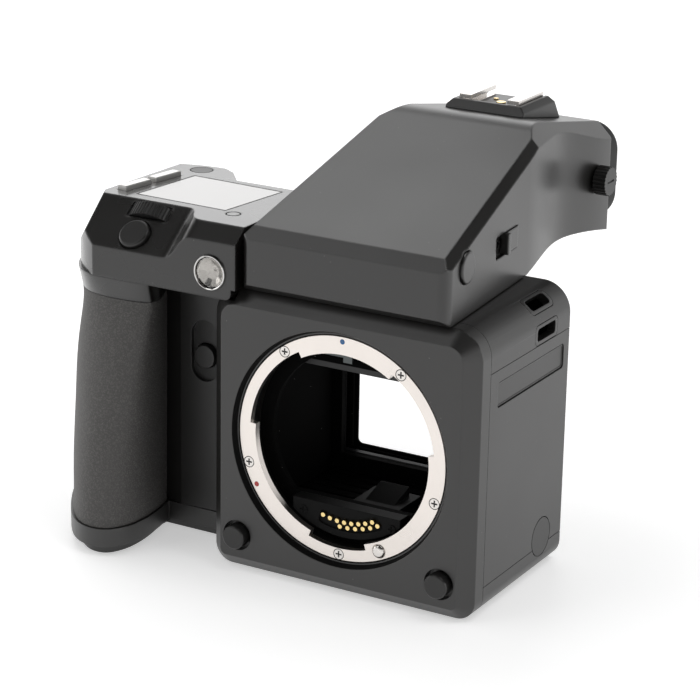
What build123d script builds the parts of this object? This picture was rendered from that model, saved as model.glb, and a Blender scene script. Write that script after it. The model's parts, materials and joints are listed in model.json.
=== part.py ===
"""Medium format digital camera body with hand grip, control housing and prism finder.

The frame has its origin at the centre of the lens mount, on the front face of the ring.
X runs to the right in the front view, Y runs from the mount into the body, Z is up.
"""
import os
from math import atan2, cos, hypot, radians, sin

from build123d import *

os.makedirs("parts", exist_ok=True)

# Clearances
seam_gap = 0.2
running_gap = 0.3
shaft_gap = 0.06
cut_overrun = 1.0

# Body shell
body_half_w = 44.4
body_bottom_z = -45.2
body_top_z = 43.0
body_top_r = 9.0
body_bottom_r = 6.0
wall = 2.6
plate_front_y = -2.0
plate_back_y = 7.2
plate_chamfer = 4.2
shell_front_y = plate_back_y + seam_gap
shell_rear_y = 59.0
top_seam_z = 29.4
low_seam_z = -36.1

# Lens mount
ring_r = 35.0
ring_thick = 2.2
tab_r = 29.2
lug_r = 31.1
throat_r = 31.9
recess_r = 36.4
recess_floor_r = 35.5
ring_edge = 0.4
lug_gap_starts_deg = (7.6, 118.0, 250.6)
lug_gap_ends_deg = (58.0, 175.5, 287.0)
mount_screw_angles_deg = (54.0, 126.0, -18.0, -90.0, -162.0)
mount_screw_circle_r = 33.0
screw_head_r = 1.6
screw_head_thick = 0.9
screw_shank_r = 0.8
screw_len = 6.0
cross_w = 0.45
cross_span = 2.0
cross_deep = 0.4
dot_r = 0.8
dot_thick = 0.35
dot_circle_r = 33.2
blue_dot_deg = 90.0
red_dot_deg = -149.7
pin_circle_r = 32.0
pin_angle_deg = -65.0
lock_pin_r = 2.15
lock_pin_proud = 1.1
lock_pin_tail = 3.6
lock_pin_dome = 1.4

# Contact block
block_r = 28.6
block_left_x = -17.4
block_right_x = 19.0
block_top_z = -19.0
block_front_y = 2.6
block_window_deep = 0.6
window_inner_r = 23.3
window_outer_r = 25.45
window_start_deg = -106.9
window_end_deg = -62.0
window_round = 1.1
contact_r = 0.7
contact_proud = 0.5
contact_len = 4.1
upper_row_r = 23.6
upper_row_start_deg = -106.7
upper_row_end_deg = -65.2
upper_row_count = 8
lower_row_r = 25.15
lower_row_start_deg = -92.3
lower_row_end_deg = -62.3
lower_row_count = 6
block_screw_r = 1.3
block_screw_proud = 0.3
block_screw_z = -22.4
block_screw_xs = (-13.7, 16.3)

# Front buttons
front_button_r = 3.75
front_button_proud = 2.6
front_button_head = 3.6
front_button_stem_r = 2.0
front_button_stem = 6.4
front_button_dome = 0.7
front_well_r = 4.7
front_well_deep = 2.6
front_button_z = -33.9
front_button_xs = (-34.3, 34.6)

# Mirror box
bulkhead_thick = 2.0
box_half_w = 31.0
box_wall = 2.5
box_floor_z = -27.5
box_ceiling_z = 27.2
box_rear_y = 50.6
box_rear_wall = 2.0
light_half_w = 28.5
light_front_y = 11.0
light_rear_y = 47.6
baffle_front_r = 29.5
baffle_rear_r = 27.6
gate_half_w = 27.2
gate_low_z = -21.7
gate_top_z = 21.2
gate_margin = 0.4
rib_count = 9
rib_deep = 0.8
rib_w = 1.2

# Reflex mirror
mirror_axis_y = 46.6
mirror_axis_z = 22.8
mirror_side_gap = 1.6
mirror_frame_half_w = box_half_w - mirror_side_gap
mirror_frame_thick = 2.0
mirror_front_y = 11.4
mirror_rear_reach = 1.2
mirror_rim = 1.4
mirror_glass_half_w = mirror_frame_half_w - mirror_rim
mirror_glass_thick = 1.5
mirror_window_half_w = 12.0
mirror_window_front_y = 24.0
mirror_window_rear_y = 41.0
mirror_pin_r = 1.2
mirror_pin_reach = 1.9
sub_half_w = 13.0
sub_axis_y = 26.0
sub_len = 15.5
sub_thick = 1.3
sub_pin_r = 0.5
sub_lug_w = 1.6

# Focus sensor, screen and clip
sensor_half_w = 8.0
sensor_front_y = 22.0
sensor_rear_y = 36.0
sensor_h = 2.6
hood_half_w = 5.0
hood_front_y = 24.5
hood_rear_y = 34.0
hood_h = 3.0
hood_slot_half_w = 3.4
screen_half_w = 30.4
screen_front_y = 10.0
screen_rear_y = 49.6
screen_thick = 1.8
clip_left_x = -14.0
clip_right_x = -2.0
clip_thick = 0.7
clip_h = 2.4
clip_tab_w = 3.0

# Focal plane shutter
shutter_front_y = 50.8
shutter_rear_y = 56.6
shutter_skin = 0.8
shutter_low_z = -41.0
shutter_top_z = 40.0
shutter_channel_h = 38.9
blade_half_w = 32.0
blade_side_gap = 1.0
shutter_wall = 3.0
shutter_channel_half_w = blade_half_w + blade_side_gap
shutter_half_w = shutter_channel_half_w + shutter_wall
blade_thick = 0.35
blade_h = 16.4
blade_pitch = 14.5
blade_count = 3
blade_stow_low_z = -22.0
blade_stow_top_z = 21.8

# Rear frame
rear_frame_front_y = 56.8
rear_rabbet = 2.0
rear_rabbet_deep = 0.8
rear_contact_half_w = 12.0
rear_contact_low_z = -33.5
rear_contact_top_z = -28.5
rear_contact_proud = 0.4
rear_pad_count = 10
rear_pad_w = 1.4

# Strap bezels
bezel_len = 14.6
bezel_h = 6.0
bezel_y = 43.0
bezel_corner_r = 1.6
slot_len = 10.6
slot_h = 3.2
slot_corner_r = 0.9
upper_bezel_deg = 52.0
lower_bezel_z = 32.7

# Side cover details
plaque_front_y = 12.0
plaque_rear_y = 55.6
plaque_low_z = 17.8
plaque_top_z = 25.6
plaque_deep = 0.7
plaque_corner_r = 1.3
port_y = 45.2
port_z = -33.3
port_r = 6.0
port_thick = 2.2
port_stem_r = 3.0
port_stem = 3.2
port_boss_r = 4.6
port_boss = 3.6

# Base details
tripod_y = 30.0
tripod_r = 3.175
tripod_big_r = 4.7625
tripod_spacing = 22.0
tripod_deep = 8.0
tripod_wall = 2.4
tripod_flange = 1.0

# Prism finder
finder_gap = 0.25
finder_front_y = -1.5
finder_low_front_z = 45.4
finder_low_front_y = 1.2
finder_brow_z = 59.3
finder_slope_z = 62.8
finder_slope_y = 1.9
finder_crest_y = 74.1
finder_crest_z = 86.2
finder_rear_y = 123.0
finder_rear_top_z = 76.9
finder_rear_low_z = 42.0
finder_arch_y = 86.0
finder_arch_z = 45.9
finder_crest_r = 20.0
finder_front_half_w = 34.4
finder_seat_half_w = 29.4
finder_waist_half_w = 24.8
finder_waist_y = 90.0
finder_rear_half_w = 27.0
finder_front_r = 3.2
finder_rear_r = 2.4
finder_bevel = 3.0
finder_wall = 3.0
eye_half_w = 14.0
eye_low_z = 50.0
eye_top_z = 66.0
prism_half_w = 22.0
prism_front_y = 8.0
prism_rear_y = 52.0
prism_low_z = 46.8
prism_front_z = 56.0
prism_top_z = 74.0
lens_front_y = 114.0
lens_rear_y = 118.0
cup_len = 9.4
cup_half_w = 25.6
cup_low_z = 43.2
cup_top_z = 75.0
cup_corner_r = 9.0
cup_edge_r = 2.2
cup_hole_r = 4.0
cup_wall = 2.6
dioptre_y = 113.2
dioptre_z = 60.6
dioptre_r = 4.7
dioptre_h = 4.2
dioptre_shaft_r = 1.6
dioptre_shaft = 3.4
dioptre_flutes = 24
flute_r = 0.35
latch_pocket_y = 42.0
latch_z = 57.8
latch_pocket_len = 16.8
latch_h = 6.3
latch_len = 10.4
latch_travel = 5.8
latch_deep = 1.5
latch_proud = 0.3
latch_ridge_len = 1.8
latch_ridge = 1.5
latch_stem_len = 3.0
latch_stem_h = 2.0
latch_stem = 1.5
finder_button_y = 11.6
finder_button_z = 58.1
finder_button_r = 4.7
finder_button_proud = 0.9
finder_button_thick = 2.0
finder_button_travel = 0.7
finder_stem_r = 1.6

# Accessory shoe
shoe_front_y = 85.0
shoe_rear_y = 112.0
shoe_top_front_y = 87.0
shoe_top_rear_y = 106.5
shoe_top_z = 86.9
shoe_half_w = 13.5
shoe_side_bevel = 1.8
shoe_floor_z = 84.9
shoe_pocket_half_w = 10.4
shoe_pocket_front_y = 88.5
rail_outer_half_w = 10.3
rail_slot_half_w = 9.35
rail_lip_half_w = 6.25
rail_lip_z = 87.0
rail_top_z = 88.2
rail_front_y = 88.6
rail_rear_y = 105.6
rail_floor = 0.4
hot_contact_r = 1.5
hot_contact_h = 0.35
small_contact_r = 0.8
small_contact_step = 3.6

# Control housing
pod_low_z = 39.9
pod_band_z = 49.35
pod_deck_z = 61.4
pod_front_y = -3.0
pod_right_x = -34.8
pod_left_x = -104.0
pod_rear_y = 56.5
pod_outline_share = {"front": (0.7327, 0.0), "front_bow": (0.8699, 0.1277), "left": (1.0, 0.4538),
                     "left_rear": (1.0, 0.6555), "rear_bow": (0.9638, 0.8235), "rear": (0.8551, 0.9328),
                     "thumb_bow": (0.7246, 0.9849), "thumb": (0.5942, 1.0), "thumb_in": (0.5275, 0.9511),
                     "step": (0.4393, 0.8235), "right": (0.0, 0.8235)}
pod_deck_front_y = 11.7
pod_brow_n = 5.96
pod_brow_left_x = -61.0
pod_brow_right_x = -50.0
pod_shift = 11.4
pod_corner_run = 6.0
pod_corner_turn_deg = 27.5
pod_deck_left_front_x = -92.9
pod_deck_left_rear_x = -91.4
pod_deck_left_front_y = 14.6
pod_deck_left_rear_y = 50.1
pod_notch_x = -36.0
pod_notch_rear_y = 46.4
pod_notch_z = 39.6
pod_reach = 60.0
window_thick = 1.1
window_gap = 0.12
window_points_share = ((0.6821, 0.3193), (0.6416, 0.7849), (0.1676, 0.7597), (0.2124, 0.2992))
deck_ring_x = -45.4
deck_ring_y = 12.8
deck_ring_r = 2.4
deck_ring_w = 0.5
deck_ring_deep = 0.4
key_len = 11.6
key_w = 3.4
key_h = 3.0
key_proud = 1.5
key_gap = 0.25
key_travel = 0.5
key_turn_deg = -8.0
key_front_x = -87.3
key_front_y = 22.4
key_rear_x = -85.4
key_rear_y = 35.9
top_button_x = -81.3
top_button_y = 50.8
top_button_r = 3.4
top_button_h = 2.0
top_button_travel = 0.5
dial_x = -72.4
dial_y = 8.6
dial_r = 11.0
dial_thick = 4.6
dial_proud = 2.1
dial_axle_r = 1.5
dial_axle = 2.0
dial_teeth = 60
tooth_r = 0.28
release_x = -73.0
release_y = 1.65
release_r = 4.9
release_proud = 1.5
release_head = 3.4
release_travel = 1.0
release_stem_r = 1.8
release_stem = 3.6
release_dome = 0.8
rear_dial_x = -55.0
rear_dial_z = 50.2
rear_dial_r = 9.0
rear_dial_thick = 4.6
rear_dial_proud = 1.8
lamp_x = -43.4
lamp_z = 47.6
lamp_r = 5.3
lamp_lens_r = 4.2
lamp_proud = 0.8
lamp_deep = 2.6
lamp_dome = 1.0

# Hand grip
grip_root_x = -44.6
grip_left_x = -107.0
grip_nose_y = -15.5
grip_rear_y = 54.0
rubber_low_z = -36.2
rubber_top_z = 32.9
rubber_thick = 1.6
web_left_x = -72.7
web_front_y = 15.6
web_rear_y = 51.6
web_crease_x = -65.8
web_crease_y = 15.2
web_corner_y = 17.0
grip_level_share = (0.0, 0.18, 0.36, 0.54, 0.70, 0.85, 1.0)
grip_outline_shares = (
    ((0.4247, 0.4374), (0.3985, 0.3187), (0.3911, 0.1923), (0.4166, 0.0797), (0.4773, 0.0135),
     (0.5603, 0.0023), (0.6477, 0.0356), (0.7338, 0.1088), (0.8210, 0.2152), (0.9038, 0.3374),
     (0.9671, 0.4729), (0.9867, 0.6313), (0.9365, 0.7919), (0.8094, 0.9063), (0.6314, 0.9639)),
    ((0.4226, 0.4374), (0.3958, 0.3231), (0.3870, 0.2008), (0.4110, 0.0923), (0.4713, 0.0286),
     (0.5543, 0.0169), (0.6420, 0.0480), (0.7292, 0.1169), (0.8179, 0.2182), (0.9023, 0.3383),
     (0.9668, 0.4742), (0.9868, 0.6319), (0.9368, 0.7914), (0.8099, 0.9053), (0.6314, 0.9626)),
    ((0.4207, 0.4374), (0.3932, 0.3290), (0.3824, 0.2136), (0.4042, 0.1124), (0.4632, 0.0530),
     (0.5461, 0.0409), (0.6346, 0.0680), (0.7233, 0.1304), (0.8133, 0.2248), (0.8983, 0.3416),
     (0.9625, 0.4764), (0.9823, 0.6324), (0.9335, 0.7900), (0.8084, 0.9029), (0.6314, 0.9599)),
    ((0.4190, 0.4374), (0.3905, 0.3364), (0.3773, 0.2306), (0.3960, 0.1398), (0.4532, 0.0868),
     (0.5357, 0.0745), (0.6258, 0.0960), (0.7167, 0.1495), (0.8076, 0.2353), (0.8917, 0.3472),
     (0.9542, 0.4795), (0.9733, 0.6328), (0.9264, 0.7878), (0.8049, 0.8991), (0.6314, 0.9557)),
    ((0.4175, 0.4374), (0.3883, 0.3444), (0.3727, 0.2492), (0.3882, 0.1690), (0.4429, 0.1224),
     (0.5245, 0.1096), (0.6157, 0.1245), (0.7090, 0.1683), (0.8009, 0.2458), (0.8839, 0.3532),
     (0.9444, 0.4828), (0.9627, 0.6331), (0.9181, 0.7853), (0.8009, 0.8952), (0.6314, 0.9515)),
    ((0.4168, 0.4374), (0.3858, 0.3524), (0.3664, 0.2713), (0.3776, 0.2075), (0.4299, 0.1713),
     (0.5120, 0.1590), (0.6052, 0.1666), (0.6991, 0.1994), (0.7890, 0.2662), (0.8688, 0.3658),
     (0.9261, 0.4893), (0.9435, 0.6337), (0.9024, 0.7809), (0.7923, 0.8879), (0.6314, 0.9434)),
    ((0.4166, 0.4374), (0.3834, 0.3611), (0.3609, 0.2941), (0.3681, 0.2472), (0.4178, 0.2233),
     (0.5013, 0.2131), (0.6007, 0.2131), (0.7011, 0.2327), (0.7907, 0.2849), (0.8632, 0.3734),
     (0.9125, 0.4915), (0.9270, 0.6329), (0.8886, 0.7766), (0.7846, 0.8808), (0.6314, 0.9355)),
)
collar_outline_share = (
    (0.4167, 0.4374), (0.3846, 0.3453), (0.3558, 0.2662), (0.3558, 0.2129), (0.4103, 0.1914),
    (0.5032, 0.1871), (0.5994, 0.1871), (0.7003, 0.1971), (0.7965, 0.2576), (0.8798, 0.3741),
    (0.9295, 0.4892), (0.9407, 0.6259), (0.9038, 0.7914), (0.7997, 0.9022), (0.6314, 0.9468))
foot_grow = 0.7
foot_chamfer = 3.0
scoop_x = -57.2
scoop_z = 15.6
scoop_h = 19.6
scoop_w = 9.4
scoop_deep = 1.4
side_button_z = 13.8
side_button_r = 3.7
side_button_head = 2.6
side_button_proud = 0.4
side_button_travel = 0.8
side_button_stem_r = 1.6
side_button_stem = 3.0
bay_left_x = -94.8
bay_right_x = -74.6
bay_front_y = 12.0
bay_rear_y = 43.4
battery_h = 60.0
battery_gap = 0.4
battery_corner_r = 5.0
door_thick = 2.4
door_lift = 0.1
door_pin_r = 0.7
door_pin = 1.6
door_notch_r = 3.0
door_notch_deep = 0.8


def at_y(y):
    """The front view plane at a depth, with X to the right and Z up."""
    return Plane.XZ.offset(-y)


def block(x0, x1, y0, y1, z0, z1, mode=Mode.ADD):
    """A box between two corners."""
    with Locations(((x0 + x1) / 2, (y0 + y1) / 2, (z0 + z1) / 2)):
        Box(abs(x1 - x0), abs(y1 - y0), abs(z1 - z0), mode=mode)


def rod_y(x, z, y0, y1, r, mode=Mode.ADD):
    """A round bar along Y."""
    with Locations(Location((x, (y0 + y1) / 2, z), (90, 0, 0))):
        Cylinder(r, abs(y1 - y0), mode=mode)


def rod_x(y, z, x0, x1, r, mode=Mode.ADD):
    """A round bar along X."""
    with Locations(Location(((x0 + x1) / 2, y, z), (0, 90, 0))):
        Cylinder(r, abs(x1 - x0), mode=mode)


def rod_z(x, y, z0, z1, r, mode=Mode.ADD):
    """A round bar along Z."""
    with Locations((x, y, (z0 + z1) / 2)):
        Cylinder(r, abs(z1 - z0), mode=mode)


def cone_y(x, z, y0, y1, r0, r1, mode=Mode.ADD):
    """A cone along Y from one radius to another."""
    with Locations(Location((x, (y0 + y1) / 2, z), (-90, 0, 0))):
        Cone(r0, r1, y1 - y0, mode=mode)


def body_face(inset):
    """The rounded front view of the body, drawn in by an inset."""
    with BuildSketch() as sketch:
        with Locations((0, (body_top_z + body_bottom_z) / 2)):
            Rectangle(2 * (body_half_w - inset), body_top_z - body_bottom_z - 2 * inset)
        corners = sketch.vertices().group_by(Axis.Y)
        fillet(corners[-1], body_top_r - inset)
        corners = sketch.vertices().group_by(Axis.Y)
        fillet(corners[0], body_bottom_r - inset)
    return sketch.sketch


def sector(r, start_deg, end_deg):
    """A pie slice of a circle."""
    def rim(angle):
        return (r * cos(radians(angle)), r * sin(radians(angle)))
    with BuildSketch() as sketch:
        with BuildLine():
            Line((0, 0), rim(start_deg))
            ThreePointArc(rim(start_deg), rim((start_deg + end_deg) / 2), rim(end_deg))
            Line(rim(end_deg), (0, 0))
        make_face()
    return sketch.sketch


def on_circle(r, angle_deg):
    """A point of the mount at a radius and an angle."""
    return (r * cos(radians(angle_deg)), r * sin(radians(angle_deg)))


def spread(start, end, count):
    """Evenly spaced values from start to end."""
    return [start + (end - start) * i / (count - 1) for i in range(count)]


# Front plate with the ring seat and the wells of both front buttons
ring_fit = shaft_gap
pin_x, pin_z = on_circle(pin_circle_r, pin_angle_deg)
screw_spots = [on_circle(mount_screw_circle_r, a) for a in mount_screw_angles_deg]
with BuildPart() as front_plate:
    with BuildSketch(at_y(plate_back_y)):
        add(body_face(0))
    extrude(amount=plate_back_y - plate_front_y)
    chamfer(front_plate.faces().sort_by(Axis.Y)[0].edges(), plate_chamfer)
    cone_y(0, 0, plate_front_y, 0, recess_r, recess_floor_r, Mode.SUBTRACT)
    rod_y(0, 0, 0, ring_thick, ring_r + ring_fit, Mode.SUBTRACT)
    rod_y(0, 0, ring_thick, plate_back_y, throat_r, Mode.SUBTRACT)
    rod_y(pin_x, pin_z, 0, plate_back_y, lock_pin_r + running_gap, Mode.SUBTRACT)
    for spot_x, spot_z in screw_spots:
        rod_y(spot_x, spot_z, 0, screw_len + running_gap, screw_shank_r + shaft_gap, Mode.SUBTRACT)
    for button_x in front_button_xs:
        rod_y(button_x, front_button_z, plate_front_y, plate_front_y + front_well_deep,
              front_well_r, Mode.SUBTRACT)
        rod_y(button_x, front_button_z, 0, plate_back_y, front_button_stem_r + shaft_gap, Mode.SUBTRACT)
    block(-body_half_w - cut_overrun, pod_notch_x, plate_front_y - cut_overrun, plate_back_y + cut_overrun,
          pod_notch_z, body_top_z + cut_overrun, Mode.SUBTRACT)
front_plate.part.label = "front_plate"
export_step(front_plate.part, "parts/front_plate.step")

# Lens mount ring with three bayonet tabs
with BuildPart() as mount_ring:
    with BuildSketch(at_y(ring_thick)):
        Circle(ring_r)
        Circle(tab_r, mode=Mode.SUBTRACT)
        for start_deg, end_deg in zip(lug_gap_starts_deg, lug_gap_ends_deg):
            add(sector(lug_r, start_deg, end_deg), mode=Mode.SUBTRACT)
    extrude(amount=ring_thick)
    outer_rim = mount_ring.edges().filter_by(GeomType.CIRCLE).group_by(Axis.Y)[0].sort_by(SortBy.RADIUS)[-1]
    chamfer(outer_rim, ring_edge)
    for spot_x, spot_z in screw_spots:
        rod_y(spot_x, spot_z, 0, screw_head_thick, screw_head_r + shaft_gap, Mode.SUBTRACT)
        rod_y(spot_x, spot_z, 0, ring_thick, screw_shank_r + shaft_gap, Mode.SUBTRACT)
    for dot_deg in (blue_dot_deg, red_dot_deg):
        dot_x, dot_z = on_circle(dot_circle_r, dot_deg)
        rod_y(dot_x, dot_z, 0, dot_thick, dot_r, Mode.SUBTRACT)
    rod_y(pin_x, pin_z, 0, ring_thick, lock_pin_r + shaft_gap, Mode.SUBTRACT)
mount_ring.part.label = "mount_ring"
export_step(mount_ring.part, "parts/mount_ring.step")

with BuildPart() as mount_screws:
    for spot_x, spot_z in screw_spots:
        rod_y(spot_x, spot_z, 0, screw_head_thick, screw_head_r)
        rod_y(spot_x, spot_z, screw_head_thick, screw_len, screw_shank_r)
        block(spot_x - cross_w / 2, spot_x + cross_w / 2, 0, cross_deep,
              spot_z - cross_span / 2, spot_z + cross_span / 2, Mode.SUBTRACT)
        block(spot_x - cross_span / 2, spot_x + cross_span / 2, 0, cross_deep,
              spot_z - cross_w / 2, spot_z + cross_w / 2, Mode.SUBTRACT)
mount_screws.part.label = "mount_screws"
export_step(mount_screws.part, "parts/mount_screws.step")

with BuildPart() as mount_dot_blue:
    dot_x, dot_z = on_circle(dot_circle_r, blue_dot_deg)
    rod_y(dot_x, dot_z, 0, dot_thick, dot_r)
mount_dot_blue.part.label = "mount_dot_blue"
export_step(mount_dot_blue.part, "parts/mount_dot_blue.step")

with BuildPart() as mount_dot_red:
    dot_x, dot_z = on_circle(dot_circle_r, red_dot_deg)
    rod_y(dot_x, dot_z, 0, dot_thick, dot_r)
mount_dot_red.part.label = "mount_dot_red"
export_step(mount_dot_red.part, "parts/mount_dot_red.step")

with BuildPart() as lock_pin:
    rod_y(pin_x, pin_z, -lock_pin_proud, ring_thick + lock_pin_tail, lock_pin_r)
    fillet(lock_pin.edges().group_by(Axis.Y)[0], lock_pin_dome)
lock_pin.part.label = "lock_pin"
export_step(lock_pin.part, "parts/lock_pin.step")

# Electrical contact block in the foot of the throat
contact_spots = [on_circle(upper_row_r, a) for a in spread(upper_row_start_deg, upper_row_end_deg, upper_row_count)]
contact_spots += [on_circle(lower_row_r, a) for a in spread(lower_row_start_deg, lower_row_end_deg, lower_row_count)]
contact_floor_y = block_front_y + block_window_deep
contact_front_y = block_front_y - contact_proud
with BuildPart() as contact_block:
    with BuildSketch(at_y(plate_back_y)):
        Circle(block_r)
        with Locations(((block_left_x + block_right_x) / 2, block_top_z - block_r / 2)):
            Rectangle(block_right_x - block_left_x, block_r, mode=Mode.INTERSECT)
    extrude(amount=plate_back_y - block_front_y)
    with BuildSketch(at_y(contact_floor_y)):
        add(sector(window_outer_r, window_start_deg, window_end_deg))
        add(sector(window_inner_r, window_start_deg, window_end_deg), mode=Mode.SUBTRACT)
        offset(amount=window_round)
    extrude(amount=block_window_deep, mode=Mode.SUBTRACT)
    for spot_x, spot_z in contact_spots:
        rod_y(spot_x, spot_z, block_front_y, plate_back_y, contact_r + shaft_gap, Mode.SUBTRACT)
    rod_y(pin_x, pin_z, block_front_y, plate_back_y, lock_pin_r + running_gap, Mode.SUBTRACT)
    for screw_x in block_screw_xs:
        rod_y(screw_x, block_screw_z, block_front_y - block_screw_proud, block_front_y, block_screw_r)
        block(screw_x - cross_w / 2, screw_x + cross_w / 2, block_front_y - block_screw_proud, block_front_y,
              block_screw_z - cross_span / 2, block_screw_z + cross_span / 2, Mode.SUBTRACT)
        block(screw_x - cross_span / 2, screw_x + cross_span / 2, block_front_y - block_screw_proud,
              block_front_y, block_screw_z - cross_w / 2, block_screw_z + cross_w / 2, Mode.SUBTRACT)
contact_block.part.label = "contact_block"
export_step(contact_block.part, "parts/contact_block.step")

with BuildPart() as contact_pins:
    for spot_x, spot_z in contact_spots:
        rod_y(spot_x, spot_z, contact_front_y, contact_front_y + contact_len, contact_r)
contact_pins.part.label = "contact_pins"
export_step(contact_pins.part, "parts/contact_pins.step")

# The two round buttons at the lower corners of the front plate
front_head_y = plate_front_y - front_button_proud
front_neck_y = front_head_y + front_button_head
with BuildPart() as lens_release_button:
    rod_y(front_button_xs[1], front_button_z, front_head_y, front_neck_y, front_button_r)
    rod_y(front_button_xs[1], front_button_z, front_neck_y, front_neck_y + front_button_stem, front_button_stem_r)
    fillet(lens_release_button.edges().group_by(Axis.Y)[0], front_button_dome)
lens_release_button.part.label = "lens_release_button"
export_step(lens_release_button.part, "parts/lens_release_button.step")

with BuildPart() as preview_button:
    rod_y(front_button_xs[0], front_button_z, front_head_y, front_neck_y, front_button_r)
    rod_y(front_button_xs[0], front_button_z, front_neck_y, front_neck_y + front_button_stem, front_button_stem_r)
    fillet(preview_button.edges().group_by(Axis.Y)[0], front_button_dome)
preview_button.part.label = "preview_button"
export_step(preview_button.part, "parts/preview_button.step")

# Mirror box with its front bulkhead, gate and light window
bulkhead_rear_y = shell_front_y + bulkhead_thick
box_rear_inner_y = box_rear_y - box_rear_wall
ceiling_top_z = box_ceiling_z + box_wall
with BuildPart() as mirror_box:
    with BuildSketch(at_y(bulkhead_rear_y)):
        add(body_face(wall + seam_gap))
    extrude(amount=bulkhead_thick)
    block(-body_half_w, pod_notch_x, shell_front_y, bulkhead_rear_y, pod_notch_z, body_top_z, Mode.SUBTRACT)
    block(-box_half_w - box_wall, box_half_w + box_wall, bulkhead_rear_y, box_rear_y,
          box_floor_z - box_wall, ceiling_top_z)
    block(-box_half_w, box_half_w, bulkhead_rear_y, box_rear_inner_y, box_floor_z, box_ceiling_z, Mode.SUBTRACT)
    with BuildSketch(at_y(bulkhead_rear_y)):
        Circle(baffle_rear_r)
        with Locations((0, block_top_z + baffle_rear_r)):
            Rectangle(4 * baffle_rear_r, 2 * baffle_rear_r, mode=Mode.INTERSECT)
    extrude(amount=bulkhead_thick, mode=Mode.SUBTRACT)
    block(-light_half_w, light_half_w, light_front_y, light_rear_y, box_ceiling_z, ceiling_top_z, Mode.SUBTRACT)
    block(-gate_half_w - gate_margin, gate_half_w + gate_margin, box_rear_inner_y, box_rear_y,
          gate_low_z - gate_margin, gate_top_z + gate_margin, Mode.SUBTRACT)
    rod_x(mirror_axis_y, mirror_axis_z, -box_half_w - box_wall, box_half_w + box_wall,
          mirror_pin_r + shaft_gap, Mode.SUBTRACT)
    rod_y(pin_x, pin_z, shell_front_y, bulkhead_rear_y, lock_pin_r + running_gap, Mode.SUBTRACT)
    for rib_y in spread(bulkhead_rear_y + rib_w, box_rear_inner_y - 2 * rib_w, rib_count):
        block(-box_half_w, box_half_w, rib_y, rib_y + rib_w, box_floor_z - rib_deep, box_floor_z, Mode.SUBTRACT)
mirror_box.part.label = "mirror_box"
export_step(mirror_box.part, "parts/mirror_box.step")

# Reflex mirror, stored in its raised place
frame_low_z = mirror_axis_z - mirror_frame_thick / 2
frame_top_z = mirror_axis_z + mirror_frame_thick / 2
mirror_rear_y = mirror_axis_y + mirror_rear_reach
glass_front_y = mirror_front_y + mirror_rim
glass_rear_y = mirror_rear_y - 2 * mirror_rim
with BuildPart() as mirror_frame:
    block(-mirror_frame_half_w, mirror_frame_half_w, mirror_front_y, mirror_rear_y, frame_low_z, frame_top_z)
    fillet(mirror_frame.edges().filter_by(Axis.X).group_by(Axis.Y)[-1], mirror_frame_thick / 3)
    block(-mirror_window_half_w, mirror_window_half_w, mirror_window_front_y, mirror_window_rear_y,
          frame_low_z, frame_top_z, Mode.SUBTRACT)
    rod_x(mirror_axis_y, mirror_axis_z, -mirror_frame_half_w - mirror_pin_reach,
          mirror_frame_half_w + mirror_pin_reach, mirror_pin_r)
    rod_x(mirror_axis_y, mirror_axis_z, -mirror_frame_half_w, mirror_frame_half_w, mirror_frame_thick / 2)
    for side in (-1, 1):
        lug_in = side * (sub_half_w + running_gap)
        lug_out = side * (sub_half_w + running_gap + sub_lug_w)
        block(lug_in, lug_out, sub_axis_y - sub_lug_w, sub_axis_y + sub_lug_w,
              frame_low_z - running_gap - sub_thick, frame_low_z)
        rod_x(sub_axis_y, frame_low_z - running_gap - sub_thick / 2, lug_in, lug_out,
              sub_pin_r + shaft_gap, Mode.SUBTRACT)
mirror_frame.part.label = "mirror_frame"
export_step(mirror_frame.part, "parts/mirror_frame.step")

with BuildPart() as main_mirror:
    block(-mirror_glass_half_w, mirror_glass_half_w, glass_front_y, glass_rear_y,
          frame_top_z, frame_top_z + mirror_glass_thick)
main_mirror.part.label = "main_mirror"
export_step(main_mirror.part, "parts/main_mirror.step")

sub_top_z = frame_low_z - running_gap
sub_low_z = sub_top_z - sub_thick
with BuildPart() as submirror:
    block(-sub_half_w, sub_half_w, sub_axis_y, sub_axis_y + sub_len, sub_low_z, sub_top_z)
    rod_x(sub_axis_y, (sub_top_z + sub_low_z) / 2, -sub_half_w, sub_half_w, sub_thick / 2)
    rod_x(sub_axis_y, (sub_top_z + sub_low_z) / 2, -sub_half_w - running_gap - sub_lug_w,
          sub_half_w + running_gap + sub_lug_w, sub_pin_r)
submirror.part.label = "submirror"
export_step(submirror.part, "parts/submirror.step")

# Focus sensor on the box floor, focusing screen and its front clip
sensor_top_z = box_floor_z + sensor_h
with BuildPart() as focus_sensor:
    block(-sensor_half_w, sensor_half_w, sensor_front_y, sensor_rear_y, box_floor_z, sensor_top_z)
    with BuildSketch(Plane.YZ.offset(-hood_half_w)):
        with BuildLine():
            Polyline((hood_front_y, sensor_top_z), (hood_rear_y, sensor_top_z),
                     (hood_rear_y, sensor_top_z + hood_h), (hood_front_y, sensor_top_z), close=True)
        make_face()
    extrude(amount=2 * hood_half_w)
    block(-hood_slot_half_w, hood_slot_half_w, hood_rear_y - hood_h, hood_rear_y,
          sensor_top_z, sensor_top_z + hood_h / 2, Mode.SUBTRACT)
focus_sensor.part.label = "focus_sensor"
export_step(focus_sensor.part, "parts/focus_sensor.step")

with BuildPart() as focusing_screen:
    block(-screen_half_w, screen_half_w, screen_front_y, screen_rear_y, ceiling_top_z,
          ceiling_top_z + screen_thick)
    chamfer(focusing_screen.edges().filter_by(Axis.Z), mirror_rim)
focusing_screen.part.label = "focusing_screen"
export_step(focusing_screen.part, "parts/focusing_screen.step")

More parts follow.
